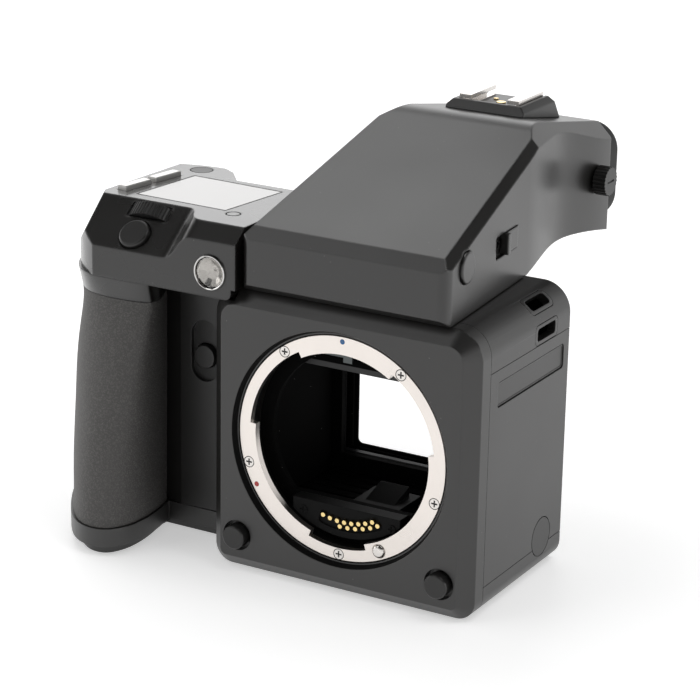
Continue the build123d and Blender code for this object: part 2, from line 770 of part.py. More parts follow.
with BuildPart() as screen_clip:
    block(clip_left_x, clip_right_x, bulkhead_rear_y, bulkhead_rear_y + clip_thick,
          box_ceiling_z - clip_h, box_ceiling_z)
    block(clip_right_x - clip_tab_w, clip_right_x, bulkhead_rear_y, bulkhead_rear_y + clip_thick,
          box_ceiling_z - clip_h - clip_tab_w / 2, box_ceiling_z)
screen_clip.part.label = "screen_clip"
export_step(screen_clip.part, "parts/screen_clip.step")

# Focal plane shutter with two sets of three blades, stored open
channel_low_z = -shutter_channel_h
channel_front_y = shutter_front_y + shutter_skin
channel_rear_y = shutter_rear_y - shutter_skin
with BuildPart() as shutter_frame:
    block(-shutter_half_w, shutter_half_w, shutter_front_y, shutter_rear_y, shutter_low_z, shutter_top_z)
    block(-shutter_channel_half_w, shutter_channel_half_w, channel_front_y, channel_rear_y,
          channel_low_z, shutter_channel_h, Mode.SUBTRACT)
    block(-gate_half_w - gate_margin, gate_half_w + gate_margin, shutter_front_y, shutter_rear_y,
          gate_low_z - gate_margin, gate_top_z + gate_margin, Mode.SUBTRACT)
shutter_frame.part.label = "shutter_frame"
export_step(shutter_frame.part, "parts/shutter_frame.step")


def blade_y(layer):
    """Front face of a shutter blade, counted from the lens side."""
    return channel_front_y + running_gap + layer * (blade_thick + running_gap)


with BuildPart() as first_blade_a:
    block(-blade_half_w, blade_half_w, blade_y(0), blade_y(0) + blade_thick,
          blade_stow_low_z - blade_h, blade_stow_low_z)
first_blade_a.part.label = "first_blade_a"
export_step(first_blade_a.part, "parts/first_blade_a.step")

with BuildPart() as first_blade_b:
    block(-blade_half_w, blade_half_w, blade_y(1), blade_y(1) + blade_thick,
          blade_stow_low_z - blade_h, blade_stow_low_z)
first_blade_b.part.label = "first_blade_b"
export_step(first_blade_b.part, "parts/first_blade_b.step")

with BuildPart() as first_blade_c:
    block(-blade_half_w, blade_half_w, blade_y(2), blade_y(2) + blade_thick,
          blade_stow_low_z - blade_h, blade_stow_low_z)
first_blade_c.part.label = "first_blade_c"
export_step(first_blade_c.part, "parts/first_blade_c.step")

with BuildPart() as second_blade_a:
    block(-blade_half_w, blade_half_w, blade_y(3), blade_y(3) + blade_thick,
          blade_stow_top_z, blade_stow_top_z + blade_h)
second_blade_a.part.label = "second_blade_a"
export_step(second_blade_a.part, "parts/second_blade_a.step")

with BuildPart() as second_blade_b:
    block(-blade_half_w, blade_half_w, blade_y(4), blade_y(4) + blade_thick,
          blade_stow_top_z, blade_stow_top_z + blade_h)
second_blade_b.part.label = "second_blade_b"
export_step(second_blade_b.part, "parts/second_blade_b.step")

with BuildPart() as second_blade_c:
    block(-blade_half_w, blade_half_w, blade_y(5), blade_y(5) + blade_thick,
          blade_stow_top_z, blade_stow_top_z + blade_h)
second_blade_c.part.label = "second_blade_c"
export_step(second_blade_c.part, "parts/second_blade_c.step")

# Inner chassis, a left wall and a rear frame round the shutter
port_socket_x = body_half_w - port_thick - port_stem
with BuildPart() as chassis:
    with BuildSketch(at_y(shutter_rear_y)):
        add(body_face(wall + seam_gap))
    extrude(amount=shutter_rear_y - shutter_front_y)
    block(-shutter_half_w - seam_gap / 2, shutter_half_w + seam_gap / 2, shutter_front_y, shutter_rear_y,
          shutter_low_z - seam_gap / 2, body_top_z, Mode.SUBTRACT)
    block(-body_half_w, -body_half_w + wall, shell_front_y, shell_rear_y - seam_gap,
          low_seam_z + seam_gap, top_seam_z - seam_gap)
    block(-body_half_w + wall, -body_half_w + wall + seam_gap, shutter_front_y, shutter_rear_y,
          low_seam_z + seam_gap, top_seam_z - seam_gap)
    rod_x(port_y, port_z, port_socket_x - port_boss / 2, body_half_w - wall - seam_gap, port_boss_r)
    block(shutter_half_w + seam_gap, body_half_w - wall - seam_gap, port_y, shutter_front_y,
          port_z - port_stem_r / 2, port_z + port_stem_r / 2)
    rod_x(port_y, port_z, port_socket_x - seam_gap, body_half_w, port_stem_r + shaft_gap, Mode.SUBTRACT)
chassis.part.label = "chassis"
export_step(chassis.part, "parts/chassis.step")

with BuildPart() as rear_frame:
    with BuildSketch(at_y(shell_rear_y)):
        add(body_face(wall + seam_gap))
    extrude(amount=shell_rear_y - rear_frame_front_y)
    block(-gate_half_w, gate_half_w, rear_frame_front_y, shell_rear_y, gate_low_z, gate_top_z, Mode.SUBTRACT)
    block(-gate_half_w - rear_rabbet, gate_half_w + rear_rabbet, shell_rear_y - rear_rabbet_deep, shell_rear_y,
          gate_low_z - rear_rabbet, gate_top_z + rear_rabbet, Mode.SUBTRACT)
    block(-rear_contact_half_w - seam_gap, rear_contact_half_w + seam_gap, rear_frame_front_y, shell_rear_y,
          rear_contact_low_z - seam_gap, rear_contact_top_z + seam_gap, Mode.SUBTRACT)
rear_frame.part.label = "rear_frame"
export_step(rear_frame.part, "parts/rear_frame.step")

with BuildPart() as rear_contacts:
    block(-rear_contact_half_w, rear_contact_half_w, rear_frame_front_y, shell_rear_y,
          rear_contact_low_z, rear_contact_top_z)
    pad_z = (rear_contact_low_z + rear_contact_top_z) / 2
    for pad_x in spread(-rear_contact_half_w + rear_pad_w, rear_contact_half_w - rear_pad_w, rear_pad_count):
        block(pad_x - rear_pad_w / 2, pad_x + rear_pad_w / 2, shell_rear_y, shell_rear_y + rear_contact_proud,
              pad_z - rear_pad_w, pad_z + rear_pad_w)
rear_contacts.part.label = "rear_contacts"
export_step(rear_contacts.part, "parts/rear_contacts.step")

# Outer covers
shell_len = shell_rear_y - shell_front_y
port_hole_r = port_r + running_gap
sockets = ((tripod_y + tripod_spacing / 2, tripod_big_r), (tripod_y - tripod_spacing / 2, tripod_r))
with BuildPart() as side_cover:
    block(body_half_w - wall, body_half_w, shell_front_y, shell_rear_y,
          low_seam_z + seam_gap / 2, top_seam_z - seam_gap / 2)
    with BuildSketch(Plane.YZ.offset(body_half_w - plaque_deep)):
        with Locations(((plaque_front_y + plaque_rear_y) / 2, (plaque_low_z + plaque_top_z) / 2)):
            RectangleRounded(plaque_rear_y - plaque_front_y, plaque_top_z - plaque_low_z, plaque_corner_r)
    extrude(amount=plaque_deep, mode=Mode.SUBTRACT)
    rod_x(port_y, port_z, body_half_w - wall, body_half_w, port_hole_r, Mode.SUBTRACT)
side_cover.part.label = "side_cover"
export_step(side_cover.part, "parts/side_cover.step")

with BuildPart() as base_cover:
    with BuildSketch(at_y(shell_rear_y)):
        add(body_face(0))
        add(body_face(wall), mode=Mode.SUBTRACT)
    extrude(amount=shell_len)
    block(-2 * body_half_w, 2 * body_half_w, shell_front_y - cut_overrun, shell_rear_y + cut_overrun,
          low_seam_z - seam_gap / 2, 2 * body_top_z, Mode.SUBTRACT)
    rod_x(port_y, port_z, body_half_w - wall, body_half_w, port_hole_r, Mode.SUBTRACT)
    for socket_y, socket_r in sockets:
        rod_z(0, socket_y, body_bottom_z, body_bottom_z + wall, socket_r + tripod_wall + seam_gap, Mode.SUBTRACT)
base_cover.part.label = "base_cover"
export_step(base_cover.part, "parts/base_cover.step")

with BuildPart() as tripod_sockets:
    for socket_y, socket_r in sockets:
        rod_z(0, socket_y, body_bottom_z + seam_gap, body_bottom_z + tripod_deep, socket_r + tripod_wall)
        rod_z(0, socket_y, body_bottom_z, body_bottom_z + tripod_deep - tripod_flange, socket_r, Mode.SUBTRACT)
tripod_sockets.part.label = "tripod_sockets"
export_step(tripod_sockets.part, "parts/tripod_sockets.step")

with BuildPart() as port_cover:
    rod_x(port_y, port_z, body_half_w - port_thick, body_half_w, port_r)
    rod_x(port_y, port_z, port_socket_x, body_half_w - port_thick, port_stem_r)
port_cover.part.label = "port_cover"
export_step(port_cover.part, "parts/port_cover.step")

# Strap bezels in the rounded shoulder, each with a slot
shoulder_x = body_half_w - body_top_r
shoulder_z = body_top_z - body_top_r
bezel_frames = []
upper_mid_r = body_top_r - wall / 2
bezel_frames.append(Plane(origin=(shoulder_x + upper_mid_r * cos(radians(upper_bezel_deg)), bezel_y,
                                  shoulder_z + upper_mid_r * sin(radians(upper_bezel_deg))),
                          x_dir=(0, 1, 0),
                          z_dir=(cos(radians(upper_bezel_deg)), 0, sin(radians(upper_bezel_deg)))))
bezel_frames.append(Plane(origin=(body_half_w - wall / 2, bezel_y, lower_bezel_z),
                          x_dir=(0, 1, 0), z_dir=(1, 0, 0)))
with BuildPart() as bezel_blanks:
    for frame in bezel_frames:
        with BuildSketch(frame):
            RectangleRounded(bezel_len, bezel_h, bezel_corner_r)
        extrude(amount=wall, both=True)
with BuildPart() as strap_bezels:
    with BuildSketch(at_y(bezel_y + bezel_len)):
        add(body_face(0))
        add(body_face(wall), mode=Mode.SUBTRACT)
    extrude(amount=2 * bezel_len)
    add(bezel_blanks.part, mode=Mode.INTERSECT)
    for frame in bezel_frames:
        with BuildSketch(frame):
            RectangleRounded(slot_len, slot_h, slot_corner_r)
        extrude(amount=wall, both=True, mode=Mode.SUBTRACT)
strap_bezels.part.label = "strap_bezels"
export_step(strap_bezels.part, "parts/strap_bezels.step")

with BuildPart() as top_cover:
    with BuildSketch(at_y(shell_rear_y)):
        add(body_face(0))
        add(body_face(wall), mode=Mode.SUBTRACT)
    extrude(amount=shell_len)
    block(-2 * body_half_w, 2 * body_half_w, shell_front_y - cut_overrun, shell_rear_y + cut_overrun,
          2 * body_bottom_z, top_seam_z + seam_gap / 2, Mode.SUBTRACT)
    block(-body_half_w - cut_overrun, pod_notch_x, shell_front_y - cut_overrun, pod_notch_rear_y,
          pod_notch_z, body_top_z + cut_overrun, Mode.SUBTRACT)
    block(-light_half_w, light_half_w, light_front_y, light_rear_y, body_top_z - 2 * wall, body_top_z + wall,
          Mode.SUBTRACT)
    for frame in bezel_frames:
        with BuildSketch(frame):
            RectangleRounded(bezel_len + 2 * seam_gap, bezel_h + 2 * seam_gap, bezel_corner_r + seam_gap)
        extrude(amount=wall, both=True, mode=Mode.SUBTRACT)
top_cover.part.label = "top_cover"
export_step(top_cover.part, "parts/top_cover.step")

# Prism finder housing
finder_seat_z = body_top_z + finder_gap
seat_rear_y = shell_rear_y + seam_gap
top_fall_share = (finder_crest_z - finder_rear_top_z) / (finder_rear_y - finder_crest_y)
finder_floor_z = prism_low_z
slope_rise_share = (finder_crest_z - finder_slope_z) / (finder_crest_y - finder_slope_y)
slope_taper_share = (finder_front_half_w - finder_seat_half_w) / (shell_rear_y - finder_front_y)
finder_window_half_w = prism_half_w - finder_wall


def finder_side(inset):
    """Side view of the finder, drawn in by an inset."""
    front_y = finder_front_y + inset
    rear_y = finder_rear_y - inset
    with BuildSketch() as sketch:
        with BuildLine():
            Polyline((finder_low_front_y + inset, finder_seat_z), (front_y, finder_low_front_z),
                     (front_y, finder_brow_z - inset), (finder_slope_y + inset, finder_slope_z - inset),
                     (finder_crest_y, finder_crest_z - inset), (rear_y, finder_rear_top_z - inset),
                     (rear_y, finder_rear_low_z + inset))
            Spline((rear_y, finder_rear_low_z + inset), (finder_arch_y, finder_arch_z + inset),
                   (seat_rear_y, finder_seat_z + inset))
            if inset:
                Line((seat_rear_y, finder_seat_z + inset), (seat_rear_y - inset, finder_seat_z))
            Line((seat_rear_y - inset, finder_seat_z), (finder_low_front_y + inset, finder_seat_z))
        make_face()
        fillet(sketch.vertices().sort_by(Axis.Y)[-1], finder_crest_r - inset)
    return sketch.sketch


def finder_plan(inset):
    """Top view of the finder, drawn in by an inset."""
    front_y = finder_front_y + inset
    rear_y = finder_rear_y - inset
    rear_line_y = rear_y - finder_rear_r
    front_x = finder_front_half_w - inset
    seat_x = finder_seat_half_w - inset
    waist_x = finder_waist_half_w - inset
    rear_x = finder_rear_half_w - inset
    with BuildSketch() as sketch:
        with BuildLine():
            Line((-front_x, front_y), (front_x, front_y))
            for side in (-1, 1):
                Line((side * front_x, front_y), (side * seat_x, shell_rear_y))
                Spline((side * seat_x, shell_rear_y), (side * waist_x, finder_waist_y),
                       (side * rear_x, rear_line_y),
                       tangents=((side * (seat_x - front_x), shell_rear_y - front_y), (0, 1)))
                Line((side * rear_x, rear_line_y), (side * rear_x, rear_y))
            Line((-rear_x, rear_y), (rear_x, rear_y))
        make_face()
        front_row = sketch.vertices().group_by(Axis.Y)[0]
        fillet(front_row, finder_front_r - inset / 2)
        rear_row = sketch.vertices().group_by(Axis.Y)[-1]
        fillet(rear_row, finder_rear_r / 2)
    return sketch.sketch


def finder_side_x(y):
    """Half width of the finder's tapered side at a depth."""
    share = (y - finder_front_y) / (shell_rear_y - finder_front_y)
    return finder_front_half_w + (finder_seat_half_w - finder_front_half_w) * share


side_lean = atan2(finder_front_half_w - finder_seat_half_w, shell_rear_y - finder_front_y)


def side_frame(y, z):
    """A plane on the finder's right side, with its local X running back and Y running up."""
    return Plane(origin=(finder_side_x(y), y, z), x_dir=(-sin(side_lean), cos(side_lean), 0),
                 z_dir=(cos(side_lean), sin(side_lean), 0))


def bevel_frame(side, half_w, y, z, taper, rise):
    """A plane along an upper edge of the finder that looks outward."""
    return Plane(origin=(side * (half_w - finder_bevel), y, z), x_dir=(-side * taper, 1, rise),
                 z_dir=(side, taper - rise, 1))


with BuildPart() as finder_void:
    with BuildSketch(Plane.XY.offset(finder_floor_z)):
        add(finder_plan(finder_wall))
    extrude(amount=finder_crest_z)
    with BuildSketch(Plane.YZ.offset(-body_half_w)):
        add(finder_side(finder_wall))
    extrude(amount=2 * body_half_w, mode=Mode.INTERSECT)

latch_centre = side_frame(latch_pocket_y, latch_z)
latch_rest = (latch_pocket_len - latch_len) / 2 - running_gap
button_frame = side_frame(finder_button_y, finder_button_z)
button_pocket = finder_button_thick - finder_button_proud + finder_button_travel + running_gap
dioptre_base_x = finder_rear_half_w + running_gap
with BuildPart() as finder_housing:
    with BuildSketch(Plane.XY):
        add(finder_plan(0))
    extrude(amount=2 * finder_crest_z)
    with BuildSketch(Plane.YZ.offset(-body_half_w)):
        add(finder_side(0))
    extrude(amount=2 * body_half_w, mode=Mode.INTERSECT)
    for side in (-1, 1):
        for bevel in (bevel_frame(side, finder_front_half_w, finder_slope_y, finder_slope_z, slope_taper_share,
                                  slope_rise_share),
                      bevel_frame(side, finder_waist_half_w, finder_crest_y, finder_crest_z, 0, -top_fall_share)):
            with BuildSketch(bevel):
                Rectangle(4 * finder_rear_y, 4 * finder_rear_y)
            extrude(amount=finder_rear_y, mode=Mode.SUBTRACT)
    add(finder_void.part, mode=Mode.SUBTRACT)
    block(-finder_window_half_w, finder_window_half_w, prism_front_y + finder_wall, prism_rear_y - finder_wall,
          finder_seat_z, finder_floor_z, Mode.SUBTRACT)
    block(-eye_half_w, eye_half_w, finder_rear_y - finder_wall, finder_rear_y, eye_low_z, eye_top_z, Mode.SUBTRACT)
    with BuildSketch(latch_centre.offset(-latch_deep)):
        RectangleRounded(latch_pocket_len, latch_h + 2 * running_gap, running_gap * 2)
    extrude(amount=2 * latch_deep, mode=Mode.SUBTRACT)
    with BuildSketch(latch_centre.offset(-latch_deep - latch_stem)):
        with Locations((latch_rest - latch_travel / 2, 0)):
            Rectangle(latch_stem_len + latch_travel + 2 * running_gap, latch_stem_h + 2 * running_gap)
    extrude(amount=2 * latch_stem, mode=Mode.SUBTRACT)
    with BuildSketch(button_frame.offset(-button_pocket)):
        Circle(finder_button_r + running_gap)
    extrude(amount=2 * button_pocket, mode=Mode.SUBTRACT)
    with BuildSketch(button_frame.offset(-finder_wall - cut_overrun)):
        Circle(finder_stem_r + shaft_gap)
    extrude(amount=finder_wall, mode=Mode.SUBTRACT)
    rod_x(dioptre_y, dioptre_z, finder_waist_half_w - finder_wall - cut_overrun, dioptre_base_x,
          dioptre_shaft_r + shaft_gap, Mode.SUBTRACT)
finder_housing.part.label = "finder_housing"
export_step(finder_housing.part, "parts/finder_housing.step")

with BuildPart() as finder_prism:
    with BuildSketch(Plane.YZ.offset(-prism_half_w)):
        with BuildLine():
            Polyline((prism_front_y, prism_low_z), (prism_rear_y, prism_low_z), (prism_rear_y, prism_top_z),
                     (prism_front_y, prism_front_z), (prism_front_y, prism_low_z))
        make_face()
    extrude(amount=2 * prism_half_w)
    chamfer(finder_prism.faces().sort_by(Axis.Z)[-1].edges().filter_by(Axis.X, reverse=True), prism_half_w / 3)
finder_prism.part.label = "finder_prism"
export_step(finder_prism.part, "parts/finder_prism.step")

eye_rim = (lens_rear_y - lens_front_y) / 3
eye_mid_z = (eye_low_z + eye_top_z) / 2
with BuildPart() as eyepiece_lens:
    with BuildSketch(at_y(finder_rear_y - finder_wall)):
        with Locations((0, eye_mid_z)):
            RectangleRounded(2 * (eye_half_w + eye_rim), eye_top_z - eye_low_z + 2 * eye_rim, eye_rim)
    extrude(amount=lens_rear_y - lens_front_y)
eyepiece_lens.part.label = "eyepiece_lens"
export_step(eyepiece_lens.part, "parts/eyepiece_lens.step")

with BuildPart() as eyecup:
    with BuildSketch(at_y(finder_rear_y + cup_len)):
        with Locations((0, (cup_low_z + cup_top_z) / 2)):
            RectangleRounded(2 * cup_half_w, cup_top_z - cup_low_z, cup_corner_r)
    extrude(amount=cup_len)
    fillet(eyecup.faces().sort_by(Axis.Y)[-1].edges(), cup_edge_r)
    with BuildSketch(at_y(finder_rear_y + cup_len)):
        with Locations((0, eye_mid_z)):
            RectangleRounded(2 * eye_half_w + cup_wall, eye_top_z - eye_low_z + cup_wall, cup_hole_r)
    extrude(amount=cup_len, mode=Mode.SUBTRACT)
eyecup.part.label = "eyecup"
export_step(eyecup.part, "parts/eyecup.step")

with BuildPart() as dioptre_knob:
    with BuildSketch(Plane.YZ.offset(dioptre_base_x)):
        with Locations((dioptre_y, dioptre_z)):
            Circle(dioptre_r)
            with PolarLocations(dioptre_r, dioptre_flutes):
                Circle(flute_r, mode=Mode.SUBTRACT)
    extrude(amount=dioptre_h)
    rod_x(dioptre_y, dioptre_z, dioptre_base_x - dioptre_shaft, dioptre_base_x, dioptre_shaft_r)
    block(dioptre_base_x + dioptre_h - flute_r, dioptre_base_x + dioptre_h, dioptre_y - dioptre_r / 2,
          dioptre_y + dioptre_r / 2, dioptre_z - flute_r, dioptre_z + flute_r, Mode.SUBTRACT)
dioptre_knob.part.label = "dioptre_knob"
export_step(dioptre_knob.part, "parts/dioptre_knob.step")

with BuildPart() as finder_latch:
    with BuildSketch(latch_centre.offset(-latch_deep + running_gap)):
        with Locations((latch_rest, 0)):
            Rectangle(latch_len, latch_h)
    extrude(amount=latch_deep - running_gap + latch_proud)
    with BuildSketch(latch_centre.offset(-latch_deep + running_gap)):
        with Locations((latch_rest - latch_len / 2 + latch_ridge_len / 2, 0)):
            Rectangle(latch_ridge_len, latch_h)
    extrude(amount=latch_deep - running_gap + latch_ridge)
    with BuildSketch(latch_centre.offset(-latch_deep - latch_stem + running_gap)):
        with Locations((latch_rest, 0)):
            Rectangle(latch_stem_len, latch_stem_h)
    extrude(amount=latch_stem)
finder_latch.part.label = "finder_latch"
export_step(finder_latch.part, "parts/finder_latch.step")

with BuildPart() as finder_button:
    with BuildSketch(button_frame.offset(finder_button_proud - finder_button_thick)):
        Circle(finder_button_r)
    extrude(amount=finder_button_thick)
    fillet(finder_button.edges().sort_by(Axis.X)[-1], finder_button_proud / 2)
    with BuildSketch(button_frame.offset(-finder_wall)):
        Circle(finder_stem_r)
    extrude(amount=finder_wall - finder_button_thick + finder_button_proud)
finder_button.part.label = "finder_button"
export_step(finder_button.part, "parts/finder_button.step")


# Accessory shoe on the falling top of the finder
def finder_top_z(y):
    """Height of the finder's flat top at a depth."""
    return finder_crest_z - (y - finder_crest_y) * top_fall_share


with BuildPart() as shoe_base:
    with BuildSketch(Plane.YZ.offset(-shoe_half_w)):
        with BuildLine():
            Polyline((shoe_front_y, finder_top_z(shoe_front_y)), (shoe_top_front_y, shoe_top_z),
                     (shoe_top_rear_y, shoe_top_z), (shoe_rear_y, finder_top_z(shoe_rear_y)),
                     (shoe_front_y, finder_top_z(shoe_front_y)))
        make_face()
    extrude(amount=2 * shoe_half_w)
    chamfer(shoe_base.faces().sort_by(Axis.Z)[-1].edges().filter_by(Axis.Y), shoe_side_bevel)
    block(-shoe_pocket_half_w, shoe_pocket_half_w, shoe_pocket_front_y, shoe_rear_y, shoe_floor_z,
          shoe_top_z, Mode.SUBTRACT)
shoe_base.part.label = "shoe_base"
export_step(shoe_base.part, "parts/shoe_base.step")

with BuildPart() as shoe_rails:
    block(-rail_outer_half_w, rail_outer_half_w, rail_front_y, rail_rear_y, shoe_floor_z, rail_top_z)
    block(-rail_slot_half_w, rail_slot_half_w, rail_front_y, rail_rear_y, shoe_floor_z + rail_floor,
          rail_lip_z, Mode.SUBTRACT)
    block(-rail_lip_half_w, rail_lip_half_w, rail_front_y, rail_rear_y, rail_lip_z, rail_top_z, Mode.SUBTRACT)
    block(-rail_lip_half_w, rail_lip_half_w, rail_front_y, rail_rear_y, shoe_floor_z,
          shoe_floor_z + rail_floor, Mode.SUBTRACT)
shoe_rails.part.label = "shoe_rails"
export_step(shoe_rails.part, "parts/shoe_rails.step")

shoe_mid_y = (rail_front_y + rail_rear_y) / 2
with BuildPart() as shoe_contacts:
    rod_z(0, shoe_mid_y, shoe_floor_z, shoe_floor_z + hot_contact_h, hot_contact_r)
    for step_x, step_y in ((-1, -1), (1, -1), (-1, 1), (1, 1)):
        rod_z(step_x * small_contact_step, shoe_mid_y + step_y * small_contact_step, shoe_floor_z,
              shoe_floor_z + hot_contact_h, small_contact_r)
shoe_contacts.part.label = "shoe_contacts"
export_step(shoe_contacts.part, "parts/shoe_contacts.step")

# Control housing above the grip
facet_rise = pod_deck_z - pod_band_z
facet_run = pod_deck_front_y - pod_front_y
facet_len = hypot(facet_rise, facet_run)


def pod_point(name):
    """A named corner of the control housing's outline."""
    across, along = pod_outline_share[name]
    return (pod_right_x + (pod_left_x - pod_right_x) * across, pod_front_y + (pod_rear_y - pod_front_y) * along)


def facet_z(y):
    """Height of the front facet at a depth."""
    return pod_band_z + (y - pod_front_y) * facet_rise / facet_run


def facet_frame(x, y):
    """A plane on the front facet that looks outward."""
    return Plane(origin=(x, y, facet_z(y)), x_dir=(1, 0, 0), z_dir=(0, -facet_rise, facet_run))


dial_frame = Plane(origin=(dial_x, dial_y, facet_z(dial_y)), x_dir=(1, 0, 0), z_dir=(0, facet_run, facet_rise))
dial_sink = dial_r - dial_proud
rear_dial_y = pod_front_y + (pod_rear_y - pod_front_y) * pod_outline_share["right"][1] + rear_dial_proud - rear_dial_r
release_frame = facet_frame(release_x, release_y)
release_pocket = release_head - release_proud + release_travel + running_gap
window_points = [(pod_right_x + (pod_left_x - pod_right_x) * u, pod_front_y + (pod_rear_y - pod_front_y) * v)
                 for u, v in window_points_share]
bevel_run_x = pod_deck_left_rear_x - pod_deck_left_front_x
bevel_run_y = pod_deck_left_rear_y - pod_deck_left_front_y
bevel_run = hypot(bevel_run_x, bevel_run_y)
left_bevel = Plane(origin=(pod_deck_left_front_x, pod_deck_left_front_y, pod_deck_z),
                   x_dir=(bevel_run_x, bevel_run_y, 0),
                   z_dir=(-facet_rise * bevel_run_y / bevel_run, facet_rise * bevel_run_x / bevel_run, pod_shift))
corner_x = -cos(radians(pod_corner_turn_deg))
corner_y = -sin(radians(pod_corner_turn_deg))
corner_bevel = Plane(origin=(pod_deck_left_front_x, pod_deck_left_front_y, pod_deck_z), x_dir=(-corner_y, corner_x, 0),
                     z_dir=(facet_rise * corner_x, facet_rise * corner_y, pod_corner_run))
key_spots = ((key_front_x, key_front_y), (key_rear_x, key_rear_y))
with BuildPart() as control_housing:
    with BuildSketch(Plane.XY.offset(pod_low_z)):
        with BuildLine():
            Line((pod_right_x, pod_front_y), pod_point("front"))
            ThreePointArc(pod_point("front"), pod_point("front_bow"), pod_point("left"))
            Line(pod_point("left"), pod_point("left_rear"))
            ThreePointArc(pod_point("left_rear"), pod_point("rear_bow"), pod_point("rear"))
            ThreePointArc(pod_point("rear"), pod_point("thumb_bow"), pod_point("thumb"))
            Polyline(pod_point("thumb"), pod_point("thumb_in"), pod_point("step"), pod_point("right"),
                     (pod_right_x, pod_front_y))
        make_face()
    extrude(amount=pod_deck_z - pod_low_z)
    with BuildSketch(Plane(origin=(pod_brow_left_x, pod_front_y, pod_band_z), x_dir=(1, 0, 0),
                           z_dir=(0, -facet_run, -facet_rise))):
        brow_w = pod_brow_right_x - pod_brow_left_x
        with BuildLine():
            Line((-pod_reach, 0), (0, 0))
            Spline((0, 0), (brow_w, pod_brow_n), tangents=((1, 0), (1, 0)))
            Polyline((brow_w, pod_brow_n), (pod_reach, pod_brow_n), (pod_reach, pod_reach),
                     (-pod_reach, pod_reach), (-pod_reach, 0))
        make_face()
    extrude(amount=pod_reach, both=True, mode=Mode.SUBTRACT)
    for bevel in (left_bevel, corner_bevel):
        with BuildSketch(bevel):
            Rectangle(4 * pod_reach, 4 * pod_reach)
        extrude(amount=pod_reach, mode=Mode.SUBTRACT)
    block(pod_notch_x - running_gap, pod_right_x + cut_overrun, pod_front_y - cut_overrun,
          pod_rear_y + cut_overrun, pod_low_z - cut_overrun, finder_seat_z, Mode.SUBTRACT)
    with BuildSketch(Plane.XY.offset(pod_deck_z - window_thick)):
        with BuildLine():
            Polyline(*window_points, close=True)
        make_face()
        offset(amount=window_gap)
    extrude(amount=window_thick, mode=Mode.SUBTRACT)
    with BuildSketch(Plane.XY.offset(pod_deck_z - deck_ring_deep)):
        with Locations((deck_ring_x, deck_ring_y)):
            Circle(deck_ring_r)
            Circle(deck_ring_r - deck_ring_w, mode=Mode.SUBTRACT)
    extrude(amount=deck_ring_deep, mode=Mode.SUBTRACT)
    for key_x, key_y in key_spots:
        with BuildSketch(Plane.XY.offset(pod_deck_z - key_h + key_proud - key_travel - running_gap)):
            with Locations(Location((key_x, key_y), key_turn_deg)):
                Rectangle(key_w + 2 * key_gap, key_len + 2 * key_gap)
        extrude(amount=key_h, mode=Mode.SUBTRACT)
    rod_z(top_button_x, top_button_y, pod_deck_z - top_button_h - top_button_travel - running_gap, pod_deck_z,
          top_button_r + running_gap, Mode.SUBTRACT)
    with BuildSketch(dial_frame):
        with Locations((0, dial_sink)):
            Circle(dial_r + running_gap)
    extrude(amount=dial_thick / 2 + running_gap, both=True, mode=Mode.SUBTRACT)
    with BuildSketch(dial_frame):
        with Locations((0, dial_sink)):
            Circle(dial_axle_r + shaft_gap)
    extrude(amount=dial_thick / 2 + dial_axle + 2 * running_gap, both=True, mode=Mode.SUBTRACT)
    with BuildSketch(release_frame.offset(-release_pocket)):
        Circle(release_r + running_gap)
    extrude(amount=release_pocket + release_proud, mode=Mode.SUBTRACT)
    with BuildSketch(release_frame.offset(-release_pocket - release_stem)):
        Circle(release_stem_r + shaft_gap)
    extrude(amount=release_stem, mode=Mode.SUBTRACT)
    rod_z(rear_dial_x, rear_dial_y, rear_dial_z - rear_dial_thick / 2 - running_gap,
          rear_dial_z + rear_dial_thick / 2 + running_gap, rear_dial_r + running_gap, Mode.SUBTRACT)
    rod_z(rear_dial_x, rear_dial_y, rear_dial_z - rear_dial_thick / 2 - dial_axle - 2 * running_gap,
          rear_dial_z + rear_dial_thick / 2 + dial_axle + 2 * running_gap, dial_axle_r + shaft_gap, Mode.SUBTRACT)
    rod_y(lamp_x, lamp_z, pod_front_y, pod_front_y + lamp_deep, lamp_r + shaft_gap, Mode.SUBTRACT)
control_housing.part.label = "control_housing"
export_step(control_housing.part, "parts/control_housing.step")

with BuildPart() as display_window:
    with BuildSketch(Plane.XY.offset(pod_deck_z - window_thick)):
        with BuildLine():
            Polyline(*window_points, close=True)
        make_face()
        offset(amount=-window_gap / 4)
    extrude(amount=window_thick)
display_window.part.label = "display_window"
export_step(display_window.part, "parts/display_window.step")

key_low_z = pod_deck_z + key_proud - key_h
with BuildPart() as key_front:
    with BuildSketch(Plane.XY.offset(key_low_z)):
        with Locations(Location((key_front_x, key_front_y), key_turn_deg)):
            Rectangle(key_w, key_len)
    extrude(amount=key_h)
    chamfer(key_front.faces().sort_by(Axis.Z)[-1].edges(), key_gap)
key_front.part.label = "key_front"
export_step(key_front.part, "parts/key_front.step")

with BuildPart() as key_rear:
    with BuildSketch(Plane.XY.offset(key_low_z)):
        with Locations(Location((key_rear_x, key_rear_y), key_turn_deg)):
            Rectangle(key_w, key_len)
    extrude(amount=key_h)
    chamfer(key_rear.faces().sort_by(Axis.Z)[-1].edges(), key_gap)
key_rear.part.label = "key_rear"
export_step(key_rear.part, "parts/key_rear.step")

with BuildPart() as top_button:
    rod_z(top_button_x, top_button_y, pod_deck_z - top_button_h, pod_deck_z, top_button_r)
top_button.part.label = "top_button"
export_step(top_button.part, "parts/top_button.step")

